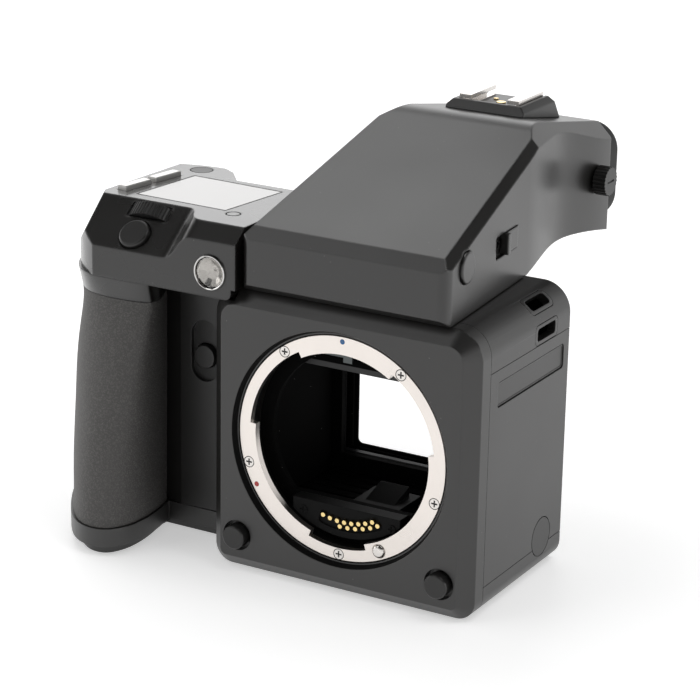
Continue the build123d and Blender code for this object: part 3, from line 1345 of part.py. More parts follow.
with BuildPart() as front_dial:
    with BuildSketch(dial_frame):
        with Locations((0, dial_sink)):
            Circle(dial_r)
            with PolarLocations(dial_r, dial_teeth):
                Circle(tooth_r, mode=Mode.SUBTRACT)
    extrude(amount=dial_thick / 2, both=True)
    with BuildSketch(dial_frame):
        with Locations((0, dial_sink)):
            Circle(dial_axle_r)
    extrude(amount=dial_thick / 2 + dial_axle, both=True)
front_dial.part.label = "front_dial"
export_step(front_dial.part, "parts/front_dial.step")

with BuildPart() as rear_dial:
    with BuildSketch(Plane.XY.offset(rear_dial_z)):
        with Locations((rear_dial_x, rear_dial_y)):
            Circle(rear_dial_r)
            with PolarLocations(rear_dial_r, dial_teeth):
                Circle(tooth_r, mode=Mode.SUBTRACT)
    extrude(amount=rear_dial_thick / 2, both=True)
    rod_z(rear_dial_x, rear_dial_y, rear_dial_z - rear_dial_thick / 2 - dial_axle,
          rear_dial_z + rear_dial_thick / 2 + dial_axle, dial_axle_r)
rear_dial.part.label = "rear_dial"
export_step(rear_dial.part, "parts/rear_dial.step")

with BuildPart() as release_button:
    with BuildSketch(release_frame.offset(release_proud - release_head)):
        Circle(release_r)
    extrude(amount=release_head)
    fillet(release_button.edges().sort_by(Axis.Z)[-1], release_dome)
    with BuildSketch(release_frame.offset(release_proud - release_head - release_stem)):
        Circle(release_stem_r)
    extrude(amount=release_stem)
release_button.part.label = "release_button"
export_step(release_button.part, "parts/release_button.step")

with BuildPart() as lamp_bezel:
    rod_y(lamp_x, lamp_z, pod_front_y - lamp_proud, pod_front_y + lamp_deep, lamp_r)
    rod_y(lamp_x, lamp_z, pod_front_y - lamp_proud, pod_front_y + lamp_deep, lamp_lens_r + shaft_gap, Mode.SUBTRACT)
lamp_bezel.part.label = "lamp_bezel"
export_step(lamp_bezel.part, "parts/lamp_bezel.step")

with BuildPart() as lamp_lens:
    rod_y(lamp_x, lamp_z, pod_front_y - lamp_proud, pod_front_y + lamp_deep, lamp_lens_r)
    fillet(lamp_lens.edges().group_by(Axis.Y)[0], lamp_dome)
lamp_lens.part.label = "lamp_lens"
export_step(lamp_lens.part, "parts/lamp_lens.step")


# Hand grip, a core with a rubber skin, a collar, a foot and the battery bay
def grip_points(shares):
    """Outline points of the grip from shares of its reach and depth."""
    return [(grip_root_x + (grip_left_x - grip_root_x) * u, grip_nose_y + (grip_rear_y - grip_nose_y) * v)
            for u, v in shares]


def drawn_in(points, inset):
    """The same outline moved inward, square to its run."""
    moved = [(points[0][0] - inset, points[0][1])]
    for before, here, after in zip(points, points[1:], points[2:]):
        run_x = after[0] - before[0]
        run_y = after[1] - before[1]
        run = hypot(run_x, run_y)
        moved.append((here[0] + inset * run_y / run, here[1] - inset * run_x / run))
    moved.append((points[-1][0], points[-1][1] - inset))
    return moved


def grip_face(points, z):
    """A level section of the grip at a height."""
    with BuildSketch(Plane.XY.offset(z)) as sketch:
        with BuildLine():
            Spline(*points)
            Polyline(points[-1], (web_left_x, points[-1][1]), points[0])
        make_face()
    return sketch.sketch


rubber_h = rubber_top_z - rubber_low_z
levels = [rubber_low_z + rubber_h * share for share in grip_level_share]
wall_y = (web_front_y + web_crease_y) / 2
button_head_y = wall_y - side_button_proud
button_neck_y = button_head_y + side_button_head
web_overlap = 2 * rubber_thick
core_top_z = pod_low_z - seam_gap / 2
web_inner_y = web_rear_y - 3 * rubber_thick
web_turn_x = web_left_x + 2 * seam_gap
with BuildPart() as grip_inner:
    for shares, z in zip(grip_outline_shares, levels):
        add(grip_face(drawn_in(grip_points(shares), rubber_thick), z))
    loft()

with BuildPart() as grip_core:
    add(grip_inner.part)
    for web_z0, web_z1, reach_x in ((rubber_low_z, rubber_top_z, web_left_x - web_overlap),
                                    (rubber_top_z, core_top_z, web_left_x + seam_gap)):
        with BuildSketch(Plane.XY.offset(web_z0)):
            with BuildLine():
                Polyline((reach_x, web_corner_y), (web_turn_x, web_corner_y),
                         (web_crease_x, web_crease_y), (grip_root_x, web_front_y),
                         (grip_root_x, web_rear_y - rubber_thick), (web_turn_x, web_inner_y),
                         (reach_x, web_inner_y))
                Line((reach_x, web_inner_y), (reach_x, web_corner_y))
            make_face()
        extrude(amount=web_z1 - web_z0)
    block(bay_left_x, bay_right_x, bay_front_y, bay_rear_y, rubber_low_z,
          body_bottom_z + door_lift + door_thick + 2 * battery_gap + battery_h, Mode.SUBTRACT)
    with BuildSketch(at_y(wall_y + scoop_deep)):
        with Locations((scoop_x, scoop_z)):
            SlotOverall(scoop_h, scoop_w, rotation=90)
    extrude(amount=scoop_h, mode=Mode.SUBTRACT)
    rod_y(scoop_x, side_button_z, wall_y, button_neck_y + side_button_travel + running_gap,
          side_button_r + running_gap, Mode.SUBTRACT)
    rod_y(scoop_x, side_button_z, wall_y, button_neck_y + side_button_stem + side_button_travel + running_gap,
          side_button_stem_r + shaft_gap, Mode.SUBTRACT)
grip_core.part.label = "grip_core"
export_step(grip_core.part, "parts/grip_core.step")

with BuildPart() as side_button:
    rod_y(scoop_x, side_button_z, button_head_y, button_neck_y, side_button_r)
    rod_y(scoop_x, side_button_z, button_neck_y, button_neck_y + side_button_stem, side_button_stem_r)
    fillet(side_button.edges().group_by(Axis.Y)[0], side_button_proud)
side_button.part.label = "side_button"
export_step(side_button.part, "parts/side_button.step")

with BuildPart() as grip_rubber:
    for shares, z in zip(grip_outline_shares, levels):
        add(grip_face(grip_points(shares), z))
    loft()
    add(grip_inner.part, mode=Mode.SUBTRACT)
    block(web_left_x - seam_gap, grip_root_x, web_crease_y - seam_gap, grip_rear_y, rubber_low_z - cut_overrun,
          rubber_top_z + cut_overrun, Mode.SUBTRACT)
grip_rubber.part.label = "grip_rubber"
export_step(grip_rubber.part, "parts/grip_rubber.step")

with BuildPart() as grip_collar:
    add(grip_face(grip_points(grip_outline_shares[-1]), rubber_top_z + seam_gap / 2))
    add(grip_face(grip_points(collar_outline_share), core_top_z))
    loft()
    block(web_left_x, grip_root_x, web_crease_y - seam_gap, grip_rear_y, rubber_top_z, pod_low_z, Mode.SUBTRACT)
grip_collar.part.label = "grip_collar"
export_step(grip_collar.part, "parts/grip_collar.step")

foot_top_z = rubber_low_z - seam_gap / 2
foot_mid_z = body_bottom_z + foot_chamfer
foot_points = grip_points(grip_outline_shares[0])
door_low_z = body_bottom_z + door_lift
door_axis_z = door_low_z + door_thick / 2
door_axis_x = bay_right_x - running_gap - door_thick / 2
with BuildPart() as grip_foot:
    add(grip_face(drawn_in(foot_points, -foot_grow), foot_mid_z))
    extrude(amount=foot_top_z - foot_mid_z)
    block(web_left_x - web_overlap, grip_root_x, web_crease_y, web_rear_y, foot_mid_z, foot_top_z)
    add(grip_face(drawn_in(foot_points, foot_chamfer - foot_grow), body_bottom_z))
    extrude(amount=foot_mid_z - body_bottom_z)
    block(web_left_x - web_overlap, grip_root_x, web_crease_y + foot_chamfer, web_rear_y - foot_chamfer,
          body_bottom_z, foot_mid_z)
    block(bay_left_x, bay_right_x, bay_front_y, bay_rear_y, body_bottom_z, foot_top_z, Mode.SUBTRACT)
    rod_y(door_axis_x, door_axis_z, bay_front_y - door_pin, bay_rear_y + door_pin, door_pin_r + shaft_gap,
          Mode.SUBTRACT)
grip_foot.part.label = "grip_foot"
export_step(grip_foot.part, "parts/grip_foot.step")

with BuildPart() as battery_door:
    block(bay_left_x + running_gap, door_axis_x, bay_front_y + running_gap, bay_rear_y - running_gap,
          door_low_z, door_low_z + door_thick)
    rod_y(door_axis_x, door_axis_z, bay_front_y + running_gap, bay_rear_y - running_gap, door_thick / 2)
    rod_y(door_axis_x, door_axis_z, bay_front_y - door_pin + running_gap, bay_rear_y + door_pin - running_gap,
          door_pin_r)
    rod_z(bay_left_x + 2 * door_notch_r, (bay_front_y + bay_rear_y) / 2, door_low_z,
          door_low_z + door_notch_deep, door_notch_r, Mode.SUBTRACT)
battery_door.part.label = "battery_door"
export_step(battery_door.part, "parts/battery_door.step")

battery_low_z = door_low_z + door_thick + battery_gap
with BuildPart() as battery:
    block(bay_left_x + battery_gap, bay_right_x - battery_gap, bay_front_y + battery_gap,
          bay_rear_y - battery_gap, battery_low_z, battery_low_z + battery_h)
    fillet(battery.edges().filter_by(Axis.Z), battery_corner_r)
battery.part.label = "battery"
export_step(battery.part, "parts/battery.step")
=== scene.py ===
"""Medium format camera body: finishes, finished edges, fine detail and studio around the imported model."""

import json
import math

import bmesh
import bpy
from bpy.props import FloatProperty, FloatVectorProperty, IntProperty, PointerProperty
from mathutils import Matrix, Vector


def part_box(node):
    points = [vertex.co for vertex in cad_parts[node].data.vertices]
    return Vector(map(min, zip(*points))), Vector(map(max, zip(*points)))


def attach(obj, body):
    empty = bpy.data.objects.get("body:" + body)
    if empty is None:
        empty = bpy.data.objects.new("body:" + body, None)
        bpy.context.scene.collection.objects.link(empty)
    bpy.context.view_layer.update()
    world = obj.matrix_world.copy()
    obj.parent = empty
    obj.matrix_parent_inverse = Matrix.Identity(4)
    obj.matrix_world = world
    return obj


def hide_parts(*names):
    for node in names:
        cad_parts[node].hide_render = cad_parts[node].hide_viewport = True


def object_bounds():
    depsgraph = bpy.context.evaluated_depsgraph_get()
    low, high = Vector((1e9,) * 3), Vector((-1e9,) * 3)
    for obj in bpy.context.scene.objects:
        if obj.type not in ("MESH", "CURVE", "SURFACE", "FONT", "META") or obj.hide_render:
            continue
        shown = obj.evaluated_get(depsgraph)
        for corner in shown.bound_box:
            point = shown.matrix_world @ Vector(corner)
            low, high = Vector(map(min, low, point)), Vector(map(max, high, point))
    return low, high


bl_info = {
    "name": "Medium Format Camera",
    "version": (1, 0, 0),
    "blender": (4, 5, 0),
    "location": "3D View > Sidebar > Camera Body",
    "description": "Finishes and details a medium format camera body around its packed model",
    "category": "Object",
}

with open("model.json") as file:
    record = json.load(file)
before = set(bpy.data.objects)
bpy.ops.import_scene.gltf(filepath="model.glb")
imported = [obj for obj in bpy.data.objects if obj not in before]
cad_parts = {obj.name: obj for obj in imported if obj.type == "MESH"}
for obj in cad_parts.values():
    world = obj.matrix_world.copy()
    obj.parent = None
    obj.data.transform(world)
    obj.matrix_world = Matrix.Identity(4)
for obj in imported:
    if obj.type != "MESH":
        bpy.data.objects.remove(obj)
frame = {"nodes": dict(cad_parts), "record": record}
cad_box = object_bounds()
MM = 0.001
WELD_GAP = 1e-6
FLAT_ANGLE_DEG = 0.4
ROUNDED_FROM_DEG = 26.0


def colour_setting(name, text, default):
    """A colour that the user can change."""
    return FloatVectorProperty(name=name, description=text, default=default, subtype="COLOR", size=3,
                               min=0.0, max=1.0)


def length_setting(name, text, default):
    """A length in metres that the user can change."""
    return FloatProperty(name=name, description=text, default=default, unit="LENGTH", min=0.0, precision=5)


class FinishSettings(bpy.types.PropertyGroup):
    """Colours of the camera's finishes."""
    front: colour_setting("Front plate", "Paint of the front plate and the foot", (0.010, 0.0093, 0.0086))
    shell: colour_setting("Covers", "Paint of the side, top and base covers", (0.0085, 0.0079, 0.0073))
    finder: colour_setting("Finder", "Paint of the finder housing", (0.0085, 0.0079, 0.0073))
    housing: colour_setting("Control housing", "Moulded housing over the grip", (0.008, 0.0073, 0.0066))
    rubber: colour_setting("Grip rubber", "Rubber skin of the grip", (0.108, 0.104, 0.100))
    metal: colour_setting("Mount metal", "Plated metal of the lens mount", (0.82, 0.765, 0.72))
    window: colour_setting("Display window", "Pale window on the deck", (0.36, 0.35, 0.34))


class EdgeSettings(bpy.types.PropertyGroup):
    """Widths of the rounded edges."""
    plate: length_setting("Front plate", "Rounding of the front plate's outer bevel", 0.0011)
    cover: length_setting("Covers", "Rounding of the covers, the foot and the collar", 0.0003)
    corner: length_setting("Housing corner", "Rounding of the housing's lower inner corner", 0.0022)


class DetailSettings(bpy.types.PropertyGroup):
    """Sizes of the nameplate, the lamp and the mirror's lip."""
    plate_rim: length_setting("Nameplate rim", "Width of the rim around the side nameplate", 0.0004)
    lamp_radius: length_setting("Lamp radius", "Radius of the focus lamp's clear cover", 0.0047)
    facets: IntProperty(name="Lamp facets", description="Facets in one ring of the lamp's reflector",
                        default=12, min=6)
    lip_depth: length_setting("Mirror lip", "How far the lip hangs below the raised mirror's frame", 0.00195)


class StageSettings(bpy.types.PropertyGroup):
    """Camera, lights and floor."""
    lens: FloatProperty(name="Lens", description="Focal length on a 36 mm wide sensor", default=132.534,
                        subtype="DISTANCE_CAMERA")
    azimuth: FloatProperty(name="Azimuth", description="Camera's turn to the right of the front view",
                           default=math.radians(29.6132), subtype="ANGLE")
    elevation: FloatProperty(name="Elevation", description="Camera's height above the level",
                             default=math.radians(18.5469), subtype="ANGLE")
    roll: FloatProperty(name="Roll", description="Camera's turn about its own axis",
                        default=math.radians(1.098), subtype="ANGLE")
    distance: length_setting("Distance", "Distance from the camera to the lens mount", 0.752089)
    floor_size: length_setting("Floor size", "Side of the square floor", 8.0)
    ambient: FloatProperty(name="Ambient", description="World light on the object", default=0.42, min=0.0)


# Shader helpers

def new_group(name, inputs, outputs):
    """An empty shader group with named sockets."""
    group = bpy.data.node_groups.new(name, "ShaderNodeTree")
    for label, value in inputs:
        socket = group.interface.new_socket(label, in_out="INPUT", socket_type="NodeSocketFloat")
        socket.default_value = value
    for label in outputs:
        group.interface.new_socket(label, in_out="OUTPUT", socket_type="NodeSocketFloat")
    return group, group.nodes.new("NodeGroupInput"), group.nodes.new("NodeGroupOutput")


def add_node(tree, kind, **values):
    """A node with its options set."""
    node = tree.nodes.new(kind)
    for key, value in values.items():
        setattr(node, key, value)
    return node


def feed(tree, value, socket):
    """Links an output to an input, or sets the input to a value."""
    if isinstance(value, bpy.types.NodeSocket):
        tree.links.new(value, socket)
    else:
        socket.default_value = value


def maths(tree, operation, first, second=None):
    """A Math node on outputs or numbers, giving its output."""
    node = add_node(tree, "ShaderNodeMath", operation=operation)
    feed(tree, first, node.inputs[0])
    if second is not None:
        feed(tree, second, node.inputs[1])
    return node.outputs[0]


def remap(tree, value, low, high, to_low=0.0, to_high=1.0):
    """A clamped map of one range on another."""
    node = add_node(tree, "ShaderNodeMapRange", clamp=True)
    for label, given in (("Value", value), ("From Min", low), ("From Max", high), ("To Min", to_low),
                         ("To Max", to_high)):
        feed(tree, given, node.inputs[label])
    return node.outputs["Result"]


def object_place(tree):
    """Where a point lies on its object."""
    return add_node(tree, "ShaderNodeTexCoord").outputs["Object"]


def noise(tree, where, scale, detail=2.0):
    """Smooth noise at a place."""
    node = add_node(tree, "ShaderNodeTexNoise")
    for label, given in (("Vector", where), ("Scale", scale), ("Detail", detail)):
        feed(tree, given, node.inputs[label])
    return node.outputs["Fac"]


def cell_distance(tree, where, scale, feature="F1"):
    """The distance from a place to the middle of its cell."""
    node = add_node(tree, "ShaderNodeTexVoronoi", feature=feature)
    for label, given in (("Vector", where), ("Scale", scale)):
        feed(tree, given, node.inputs[label])
    return node.outputs["Distance"]


# Shared effects

BEVEL_SAMPLES = 4


def paint_grain_group():
    """Fine orange peel of sprayed paint, with a slow drift of tone."""
    cell_scale_share, cell_height_share, drift_scale = 0.6, 0.6, 38.0
    tree, given, out = new_group("paint_grain", (("Scale", 3000.0),), ("Height", "Tone"))
    where = object_place(tree)
    fine = noise(tree, where, given.outputs["Scale"])
    cells = cell_distance(tree, where, maths(tree, "MULTIPLY", given.outputs["Scale"], cell_scale_share),
                          "SMOOTH_F1")
    height = maths(tree, "ADD", fine, maths(tree, "MULTIPLY", cells, cell_height_share))
    tree.links.new(height, out.inputs["Height"])
    tree.links.new(noise(tree, where, drift_scale), out.inputs["Tone"])
    return tree


def rubber_speckle_group():
    """Pebbled rubber: small rounded grains with a few larger ones among them."""
    large_scale_share, large_height_share = 0.46, 0.55
    grain_core, grain_edge = 0.1, 0.62
    tone_low, tone_high = 0.2, 1.3
    tree, given, out = new_group("rubber_speckle", (("Scale", 1500.0),), ("Height", "Tone"))
    where = object_place(tree)
    grains = []
    for share in (1.0, large_scale_share):
        distance = cell_distance(tree, where, maths(tree, "MULTIPLY", given.outputs["Scale"], share))
        grains.append(remap(tree, distance, grain_core, grain_edge, 1.0, 0.0))
    height = maths(tree, "ADD", grains[0], maths(tree, "MULTIPLY", grains[1], large_height_share))
    tree.links.new(height, out.inputs["Height"])
    tree.links.new(remap(tree, height, tone_low, tone_high), out.inputs["Tone"])
    return tree


def edge_wear_group():
    """Where paint is thin and rubbed: a broken line along the edges."""
    flat_facing, edge_facing = 0.995, 0.86
    gap_scale, gap_detail = 420.0, 5.0
    kept_below, rubbed_above = 0.42, 0.62
    tree, given, out = new_group("edge_wear", (("Radius", 0.0006),), ("Mask",))
    where = object_place(tree)
    rounded = add_node(tree, "ShaderNodeBevel", samples=BEVEL_SAMPLES)
    tree.links.new(given.outputs["Radius"], rounded.inputs["Radius"])
    true = add_node(tree, "ShaderNodeNewGeometry")
    facing = add_node(tree, "ShaderNodeVectorMath", operation="DOT_PRODUCT")
    tree.links.new(rounded.outputs["Normal"], facing.inputs[0])
    tree.links.new(true.outputs["Normal"], facing.inputs[1])
    edge = remap(tree, facing.outputs["Value"], flat_facing, edge_facing)
    rubbed = remap(tree, noise(tree, where, gap_scale, gap_detail), kept_below, rubbed_above)
    tree.links.new(maths(tree, "MULTIPLY", edge, rubbed), out.inputs["Mask"])
    return tree


def dust_group():
    """Sparse pale specks of dust."""
    tree, given, out = new_group("dust_specks", (("Scale", 260.0), ("Amount", 0.06)), ("Mask",))
    distance = cell_distance(tree, object_place(tree), given.outputs["Scale"])
    tree.links.new(maths(tree, "LESS_THAN", distance, given.outputs["Amount"]), out.inputs["Mask"])
    return tree


def turned_group():
    """Concentric lathe marks about the optical axis."""
    mark_detail, smear_scale = 3.0, 60.0
    smear_low, smear_high = 0.3, 0.7
    tree, given, out = new_group("turned_marks", (("Pitch", 9000.0),), ("Height", "Tone"))
    where = object_place(tree)
    parts = add_node(tree, "ShaderNodeSeparateXYZ")
    tree.links.new(where, parts.inputs[0])
    squares = [maths(tree, "MULTIPLY", parts.outputs[axis], parts.outputs[axis]) for axis in ("X", "Z")]
    radius = maths(tree, "SQRT", maths(tree, "ADD", *squares))
    marks = add_node(tree, "ShaderNodeTexNoise", noise_dimensions="1D")
    for label, value in (("W", radius), ("Scale", given.outputs["Pitch"]), ("Detail", mark_detail)):
        feed(tree, value, marks.inputs[label])
    tree.links.new(marks.outputs["Fac"], out.inputs["Height"])
    tree.links.new(remap(tree, noise(tree, where, smear_scale), smear_low, smear_high), out.inputs["Tone"])
    return tree


def shared_effects():
    """The shader groups by name, each built once."""
    makers = {"paint_grain": paint_grain_group, "rubber_speckle": rubber_speckle_group,
              "edge_wear": edge_wear_group, "dust_specks": dust_group, "turned_marks": turned_group}
    return {name: bpy.data.node_groups.get(name) or make() for name, make in makers.items()}


def place_group(tree, name, **values):
    """A shared group in a material, with this material's own values."""
    node = add_node(tree, "ShaderNodeGroup", node_tree=shared_effects()[name])
    for label, value in values.items():
        node.inputs[label].default_value = value
    return node


def mixed(tree, factor, first, second):
    """A mix by a factor of two colours, each an output or four numbers."""
    node = add_node(tree, "ShaderNodeMix", data_type="RGBA")
    tree.links.new(factor, node.inputs["Factor"])
    for label, value in (("A", first), ("B", second)):
        socket = [s for s in node.inputs if s.name == label and s.type == "RGBA"][0]
        feed(tree, value, socket)
    return [s for s in node.outputs if s.type == "RGBA"][0]


def shade(colour, share):
    """A colour made lighter or darker by a share, with full alpha."""
    return (*(min(1.0, max(0.0, c * share)) for c in colour), 1.0)


# Materials

COAT_ROUGH = 0.12
WORN_METAL = (0.34, 0.33, 0.31, 1.0)
WEAR_RADIUS = 0.0007
DUST_COLOUR = (0.45, 0.44, 0.42, 1.0)
DUST_AMOUNT = 0.032
ROUGH_SPREAD = 0.04


def finish(name, colour, rough, metallic=0.0, texture="paint_grain", scale=3000.0, bump=0.03, depth=0.00004,
           tone=0.08, wear=0.0, dust=0.0, edge=0.0003, coat=0.0, specular=0.5):
    """A procedural material: toned colour, textured bump, soft edges, worn edges and dust."""
    material = bpy.data.materials.new(name)
    material.use_nodes = True
    tree = material.node_tree
    shader = tree.nodes["Principled BSDF"]
    for label, value in (("Metallic", metallic), ("Coat Weight", coat), ("Coat Roughness", COAT_ROUGH),
                         ("Specular IOR Level", specular)):
        shader.inputs[label].default_value = value
    key = "Pitch" if texture == "turned_marks" else "Scale"
    grain = place_group(tree, texture, **{key: scale})
    body = mixed(tree, grain.outputs["Tone"], shade(colour, 1.0 - tone), shade(colour, 1.0 + tone))
    if wear:
        worn = place_group(tree, "edge_wear", Radius=WEAR_RADIUS)
        body = mixed(tree, maths(tree, "MULTIPLY", worn.outputs["Mask"], wear), body, WORN_METAL)
    if dust:
        specks = place_group(tree, "dust_specks", Amount=DUST_AMOUNT)
        body = mixed(tree, maths(tree, "MULTIPLY", specks.outputs["Mask"], dust), body, DUST_COLOUR)
    tree.links.new(body, shader.inputs["Base Color"])
    tree.links.new(remap(tree, grain.outputs["Tone"], 0.0, 1.0, rough - ROUGH_SPREAD, rough + ROUGH_SPREAD),
                   shader.inputs["Roughness"])
    relief = add_node(tree, "ShaderNodeBump")
    relief.inputs["Strength"].default_value = bump
    relief.inputs["Distance"].default_value = depth
    tree.links.new(grain.outputs["Height"], relief.inputs["Height"])
    if edge:
        rounded = add_node(tree, "ShaderNodeBevel", samples=BEVEL_SAMPLES)
        rounded.inputs["Radius"].default_value = edge
        tree.links.new(rounded.outputs["Normal"], relief.inputs["Normal"])
    tree.links.new(relief.outputs["Normal"], shader.inputs["Normal"])
    return material


def clear_finish(name, colour, rough, ior):
    """A glass material with a faint smear of tone."""
    material = finish(name, colour, rough, bump=0.004, tone=0.02, edge=0.0)
    shader = material.node_tree.nodes["Principled BSDF"]
    shader.inputs["Transmission Weight"].default_value = 1.0
    shader.inputs["IOR"].default_value = ior
    return material


def finish_values():
    """What each material is made from: its colour, its roughness and what departs from plain paint."""
    look = bpy.context.scene.camera_finish
    return {
        "front_paint": dict(colour=look.front, rough=0.38, wear=0.05, dust=0.4, bump=0.05, specular=0.8),
        # Near-black, dull finish for the ring seat's groove: painted shade in the recess
        "groove_paint": dict(colour=(0.002, 0.002, 0.002), rough=0.75, bump=0.05, specular=0.12, edge=0.0),
        "shell_paint": dict(colour=look.shell, rough=0.36, wear=0.05, dust=0.3, bump=0.06, specular=0.8),
        "finder_paint": dict(colour=look.finder, rough=0.32, wear=0.05, dust=0.3, bump=0.05, specular=0.8,
                             edge=0.0008),
        "housing_moulding": dict(colour=look.housing, rough=0.28, dust=0.4, bump=0.02, coat=0.5, edge=0.0011),
        "grip_rubber": dict(colour=look.rubber, rough=0.62, texture="rubber_speckle", scale=2100.0, bump=0.55,
                            depth=0.00012, tone=0.35, dust=0.35),
        "eyecup_rubber": dict(colour=(0.020, 0.020, 0.020), rough=0.70, bump=0.1, dust=0.3),
        "button_moulding": dict(colour=(0.014, 0.0135, 0.013), rough=0.34),
        "mount_metal": dict(colour=look.metal, rough=0.30, metallic=1.0, texture="turned_marks", scale=7000.0,
                            bump=0.05, tone=0.03, edge=0.00012),
        "screw_metal": dict(colour=(0.74, 0.71, 0.68), rough=0.22, metallic=1.0, bump=0.02, edge=0.0002),
        "key_metal": dict(colour=(0.70, 0.69, 0.67), rough=0.30, metallic=0.9),
        "gold_plate": dict(colour=(0.95, 0.72, 0.33), rough=0.22, metallic=1.0, bump=0.02, edge=0.0002),
        "inner_paint": dict(colour=(0.0035, 0.0035, 0.0035), rough=0.85, bump=0.05, dust=0.5, specular=0.05),
        "lip_paint": dict(colour=(0.012, 0.012, 0.012), rough=0.5, bump=0.05, dust=0.3),
        "clip_metal": dict(colour=(0.10, 0.11, 0.11), rough=0.35, metallic=0.8),
        "plate_enamel": dict(colour=(0.010, 0.0092, 0.0085), rough=0.33, bump=0.01, specular=0.6,
                             edge=0.0002),
        "reflector_silver": dict(colour=(0.50, 0.49, 0.48), rough=0.16, metallic=1.0, bump=0.0, tone=0.03,
                                 edge=0.0),
        "lamp_chrome": dict(colour=(0.62, 0.61, 0.60), rough=0.12, metallic=1.0, bump=0.0, tone=0.03,
                            edge=0.0),
        "blade_coating": dict(colour=(0.020, 0.020, 0.022), rough=0.45, edge=0.0),
        "block_moulding": dict(colour=(0.0045, 0.0045, 0.0045), rough=0.6, bump=0.04, dust=0.4,
                               specular=0.12),
        # Near-black rubber of the window seal, also worn by the painted shade in the mount screws
        "seal_rubber": dict(colour=(0.006, 0.006, 0.006), rough=0.5, bump=0.02, edge=0.0),
        "display_window": dict(colour=look.window, rough=0.16, bump=0.004, tone=0.02, coat=0.6, edge=0.0001),
        "mirror_silver": dict(colour=(0.90, 0.91, 0.92), rough=0.05, metallic=1.0, bump=0.0, tone=0.01,
                              edge=0.0),
        "red_enamel": dict(colour=(0.55, 0.02, 0.02), rough=0.2, coat=0.5, edge=0.0001),
        "blue_enamel": dict(colour=(0.02, 0.16, 0.42), rough=0.2, coat=0.5, edge=0.0001),
        "battery_case": dict(colour=(0.03, 0.03, 0.032), rough=0.5, bump=0.05),
        "optic_glass": dict(colour=(0.95, 0.97, 0.97), rough=0.04, ior=1.52),
        "ground_glass": dict(colour=(0.90, 0.91, 0.90), rough=0.40, ior=1.49),
        "lamp_glass": dict(colour=(0.90, 0.89, 0.87), rough=0.02, ior=1.35),
    }


def camera_finishes():
    """The camera's materials by name, built once from the settings."""
    made = {}
    for name, values in finish_values().items():
        make = clear_finish if "ior" in values else finish
        made[name] = bpy.data.materials.get(name) or make(name, **values)
    return made


NODE_FINISH = {
    "front_paint": ("front_plate", "grip_foot", "battery_door", "grip_collar"),
    "shell_paint": ("side_cover", "base_cover", "top_cover", "strap_bezels"),
    "finder_paint": ("finder_housing", "finder_latch", "finder_button"),
    "housing_moulding": ("control_housing",),
    "grip_rubber": ("grip_rubber",),
    "eyecup_rubber": ("eyecup",),
    "button_moulding": ("lens_release_button", "preview_button", "port_cover", "dioptre_knob", "top_button",
                        "front_dial", "rear_dial", "release_button", "side_button", "grip_core", "shoe_base"),
    "mount_metal": ("mount_ring",),
    "screw_metal": ("mount_screws", "lock_pin", "shoe_rails", "tripod_sockets"),
    "key_metal": ("key_front", "key_rear"),
    "gold_plate": ("contact_pins", "shoe_contacts", "rear_contacts"),
    "clip_metal": ("screen_clip",),
    "lamp_chrome": ("lamp_bezel",),
    "inner_paint": ("mirror_box", "mirror_frame", "chassis", "shutter_frame", "rear_frame"),
    "blade_coating": ("first_blade_a", "first_blade_b", "first_blade_c", "second_blade_a", "second_blade_b",
                      "second_blade_c"),
    "block_moulding": ("contact_block", "focus_sensor"),
    "display_window": ("display_window",),
    "mirror_silver": ("main_mirror", "submirror"),
    "red_enamel": ("mount_dot_red",),
    "blue_enamel": ("mount_dot_blue",),
    "battery_case": ("battery",),
    "optic_glass": ("finder_prism", "eyepiece_lens"),
    "ground_glass": ("focusing_screen",),
    "lamp_glass": ("lamp_lens",),
}


def body_of_node(node):
    """The name of the body that carries a node."""
    for body, members in frame["record"]["behaviour"]["bodies"].items():
        if node in members:
            return body
    raise KeyError(node)


def dress(piece, material_name):
    """Gives a piece one material."""
    piece.data.materials.clear()
    piece.data.materials.append(camera_finishes()[material_name])


class OBJECT_OT_camera_finishes(bpy.types.Operator):
    """Gives every piece of the camera its finish"""
    bl_idname = "object.camera_finishes"
    bl_label = "Finishes"

    def execute(self, context):
        """Assigns the materials by piece."""
        dressed = {node for nodes in NODE_FINISH.values() for node in nodes}
        missing = set(frame["nodes"]) - dressed
        if missing:
            raise RuntimeError("pieces without a finish: " + ", ".join(sorted(missing)))
        for material_name, nodes in NODE_FINISH.items():
            for node in nodes:
                dress(frame["nodes"][node], material_name)
        return {"FINISHED"}


# Meshes and pieces

def new_piece(name, body, material_name, mesh):
    """A piece that rides on a body and wears a material."""
    piece = bpy.data.objects.new(name, mesh)
    bpy.context.collection.objects.link(piece)
    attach(piece, body)
    dress(piece, material_name)
    return piece


def soft_shaded(piece, sharp_deg=32.0):
    """Smooth shading that keeps sharp edges, with normals weighted to the large faces."""
    piece.data.shade_smooth()
    piece.data.set_sharp_from_angle(angle=math.radians(sharp_deg))
    weighted = piece.modifiers.new("weighted", "WEIGHTED_NORMAL")
    weighted.keep_sharp = True


def finished_mesh(name, shape):
    """A mesh of a working shape, which is freed."""
    mesh = bpy.data.meshes.new(name)
    shape.to_mesh(mesh)
    shape.free()
    return mesh


def welded_shape(node):
    """A working copy of a node's mesh with its double points joined."""
    shape = bmesh.new()
    shape.from_mesh(frame["nodes"][node].data)
    bmesh.ops.remove_doubles(shape, verts=shape.verts, dist=WELD_GAP)
    return shape


def circle(radius, steps):
    """Points of a circle about the origin, as pairs."""
    return [(radius * math.cos(math.tau * i / steps), radius * math.sin(math.tau * i / steps))
            for i in range(steps)]


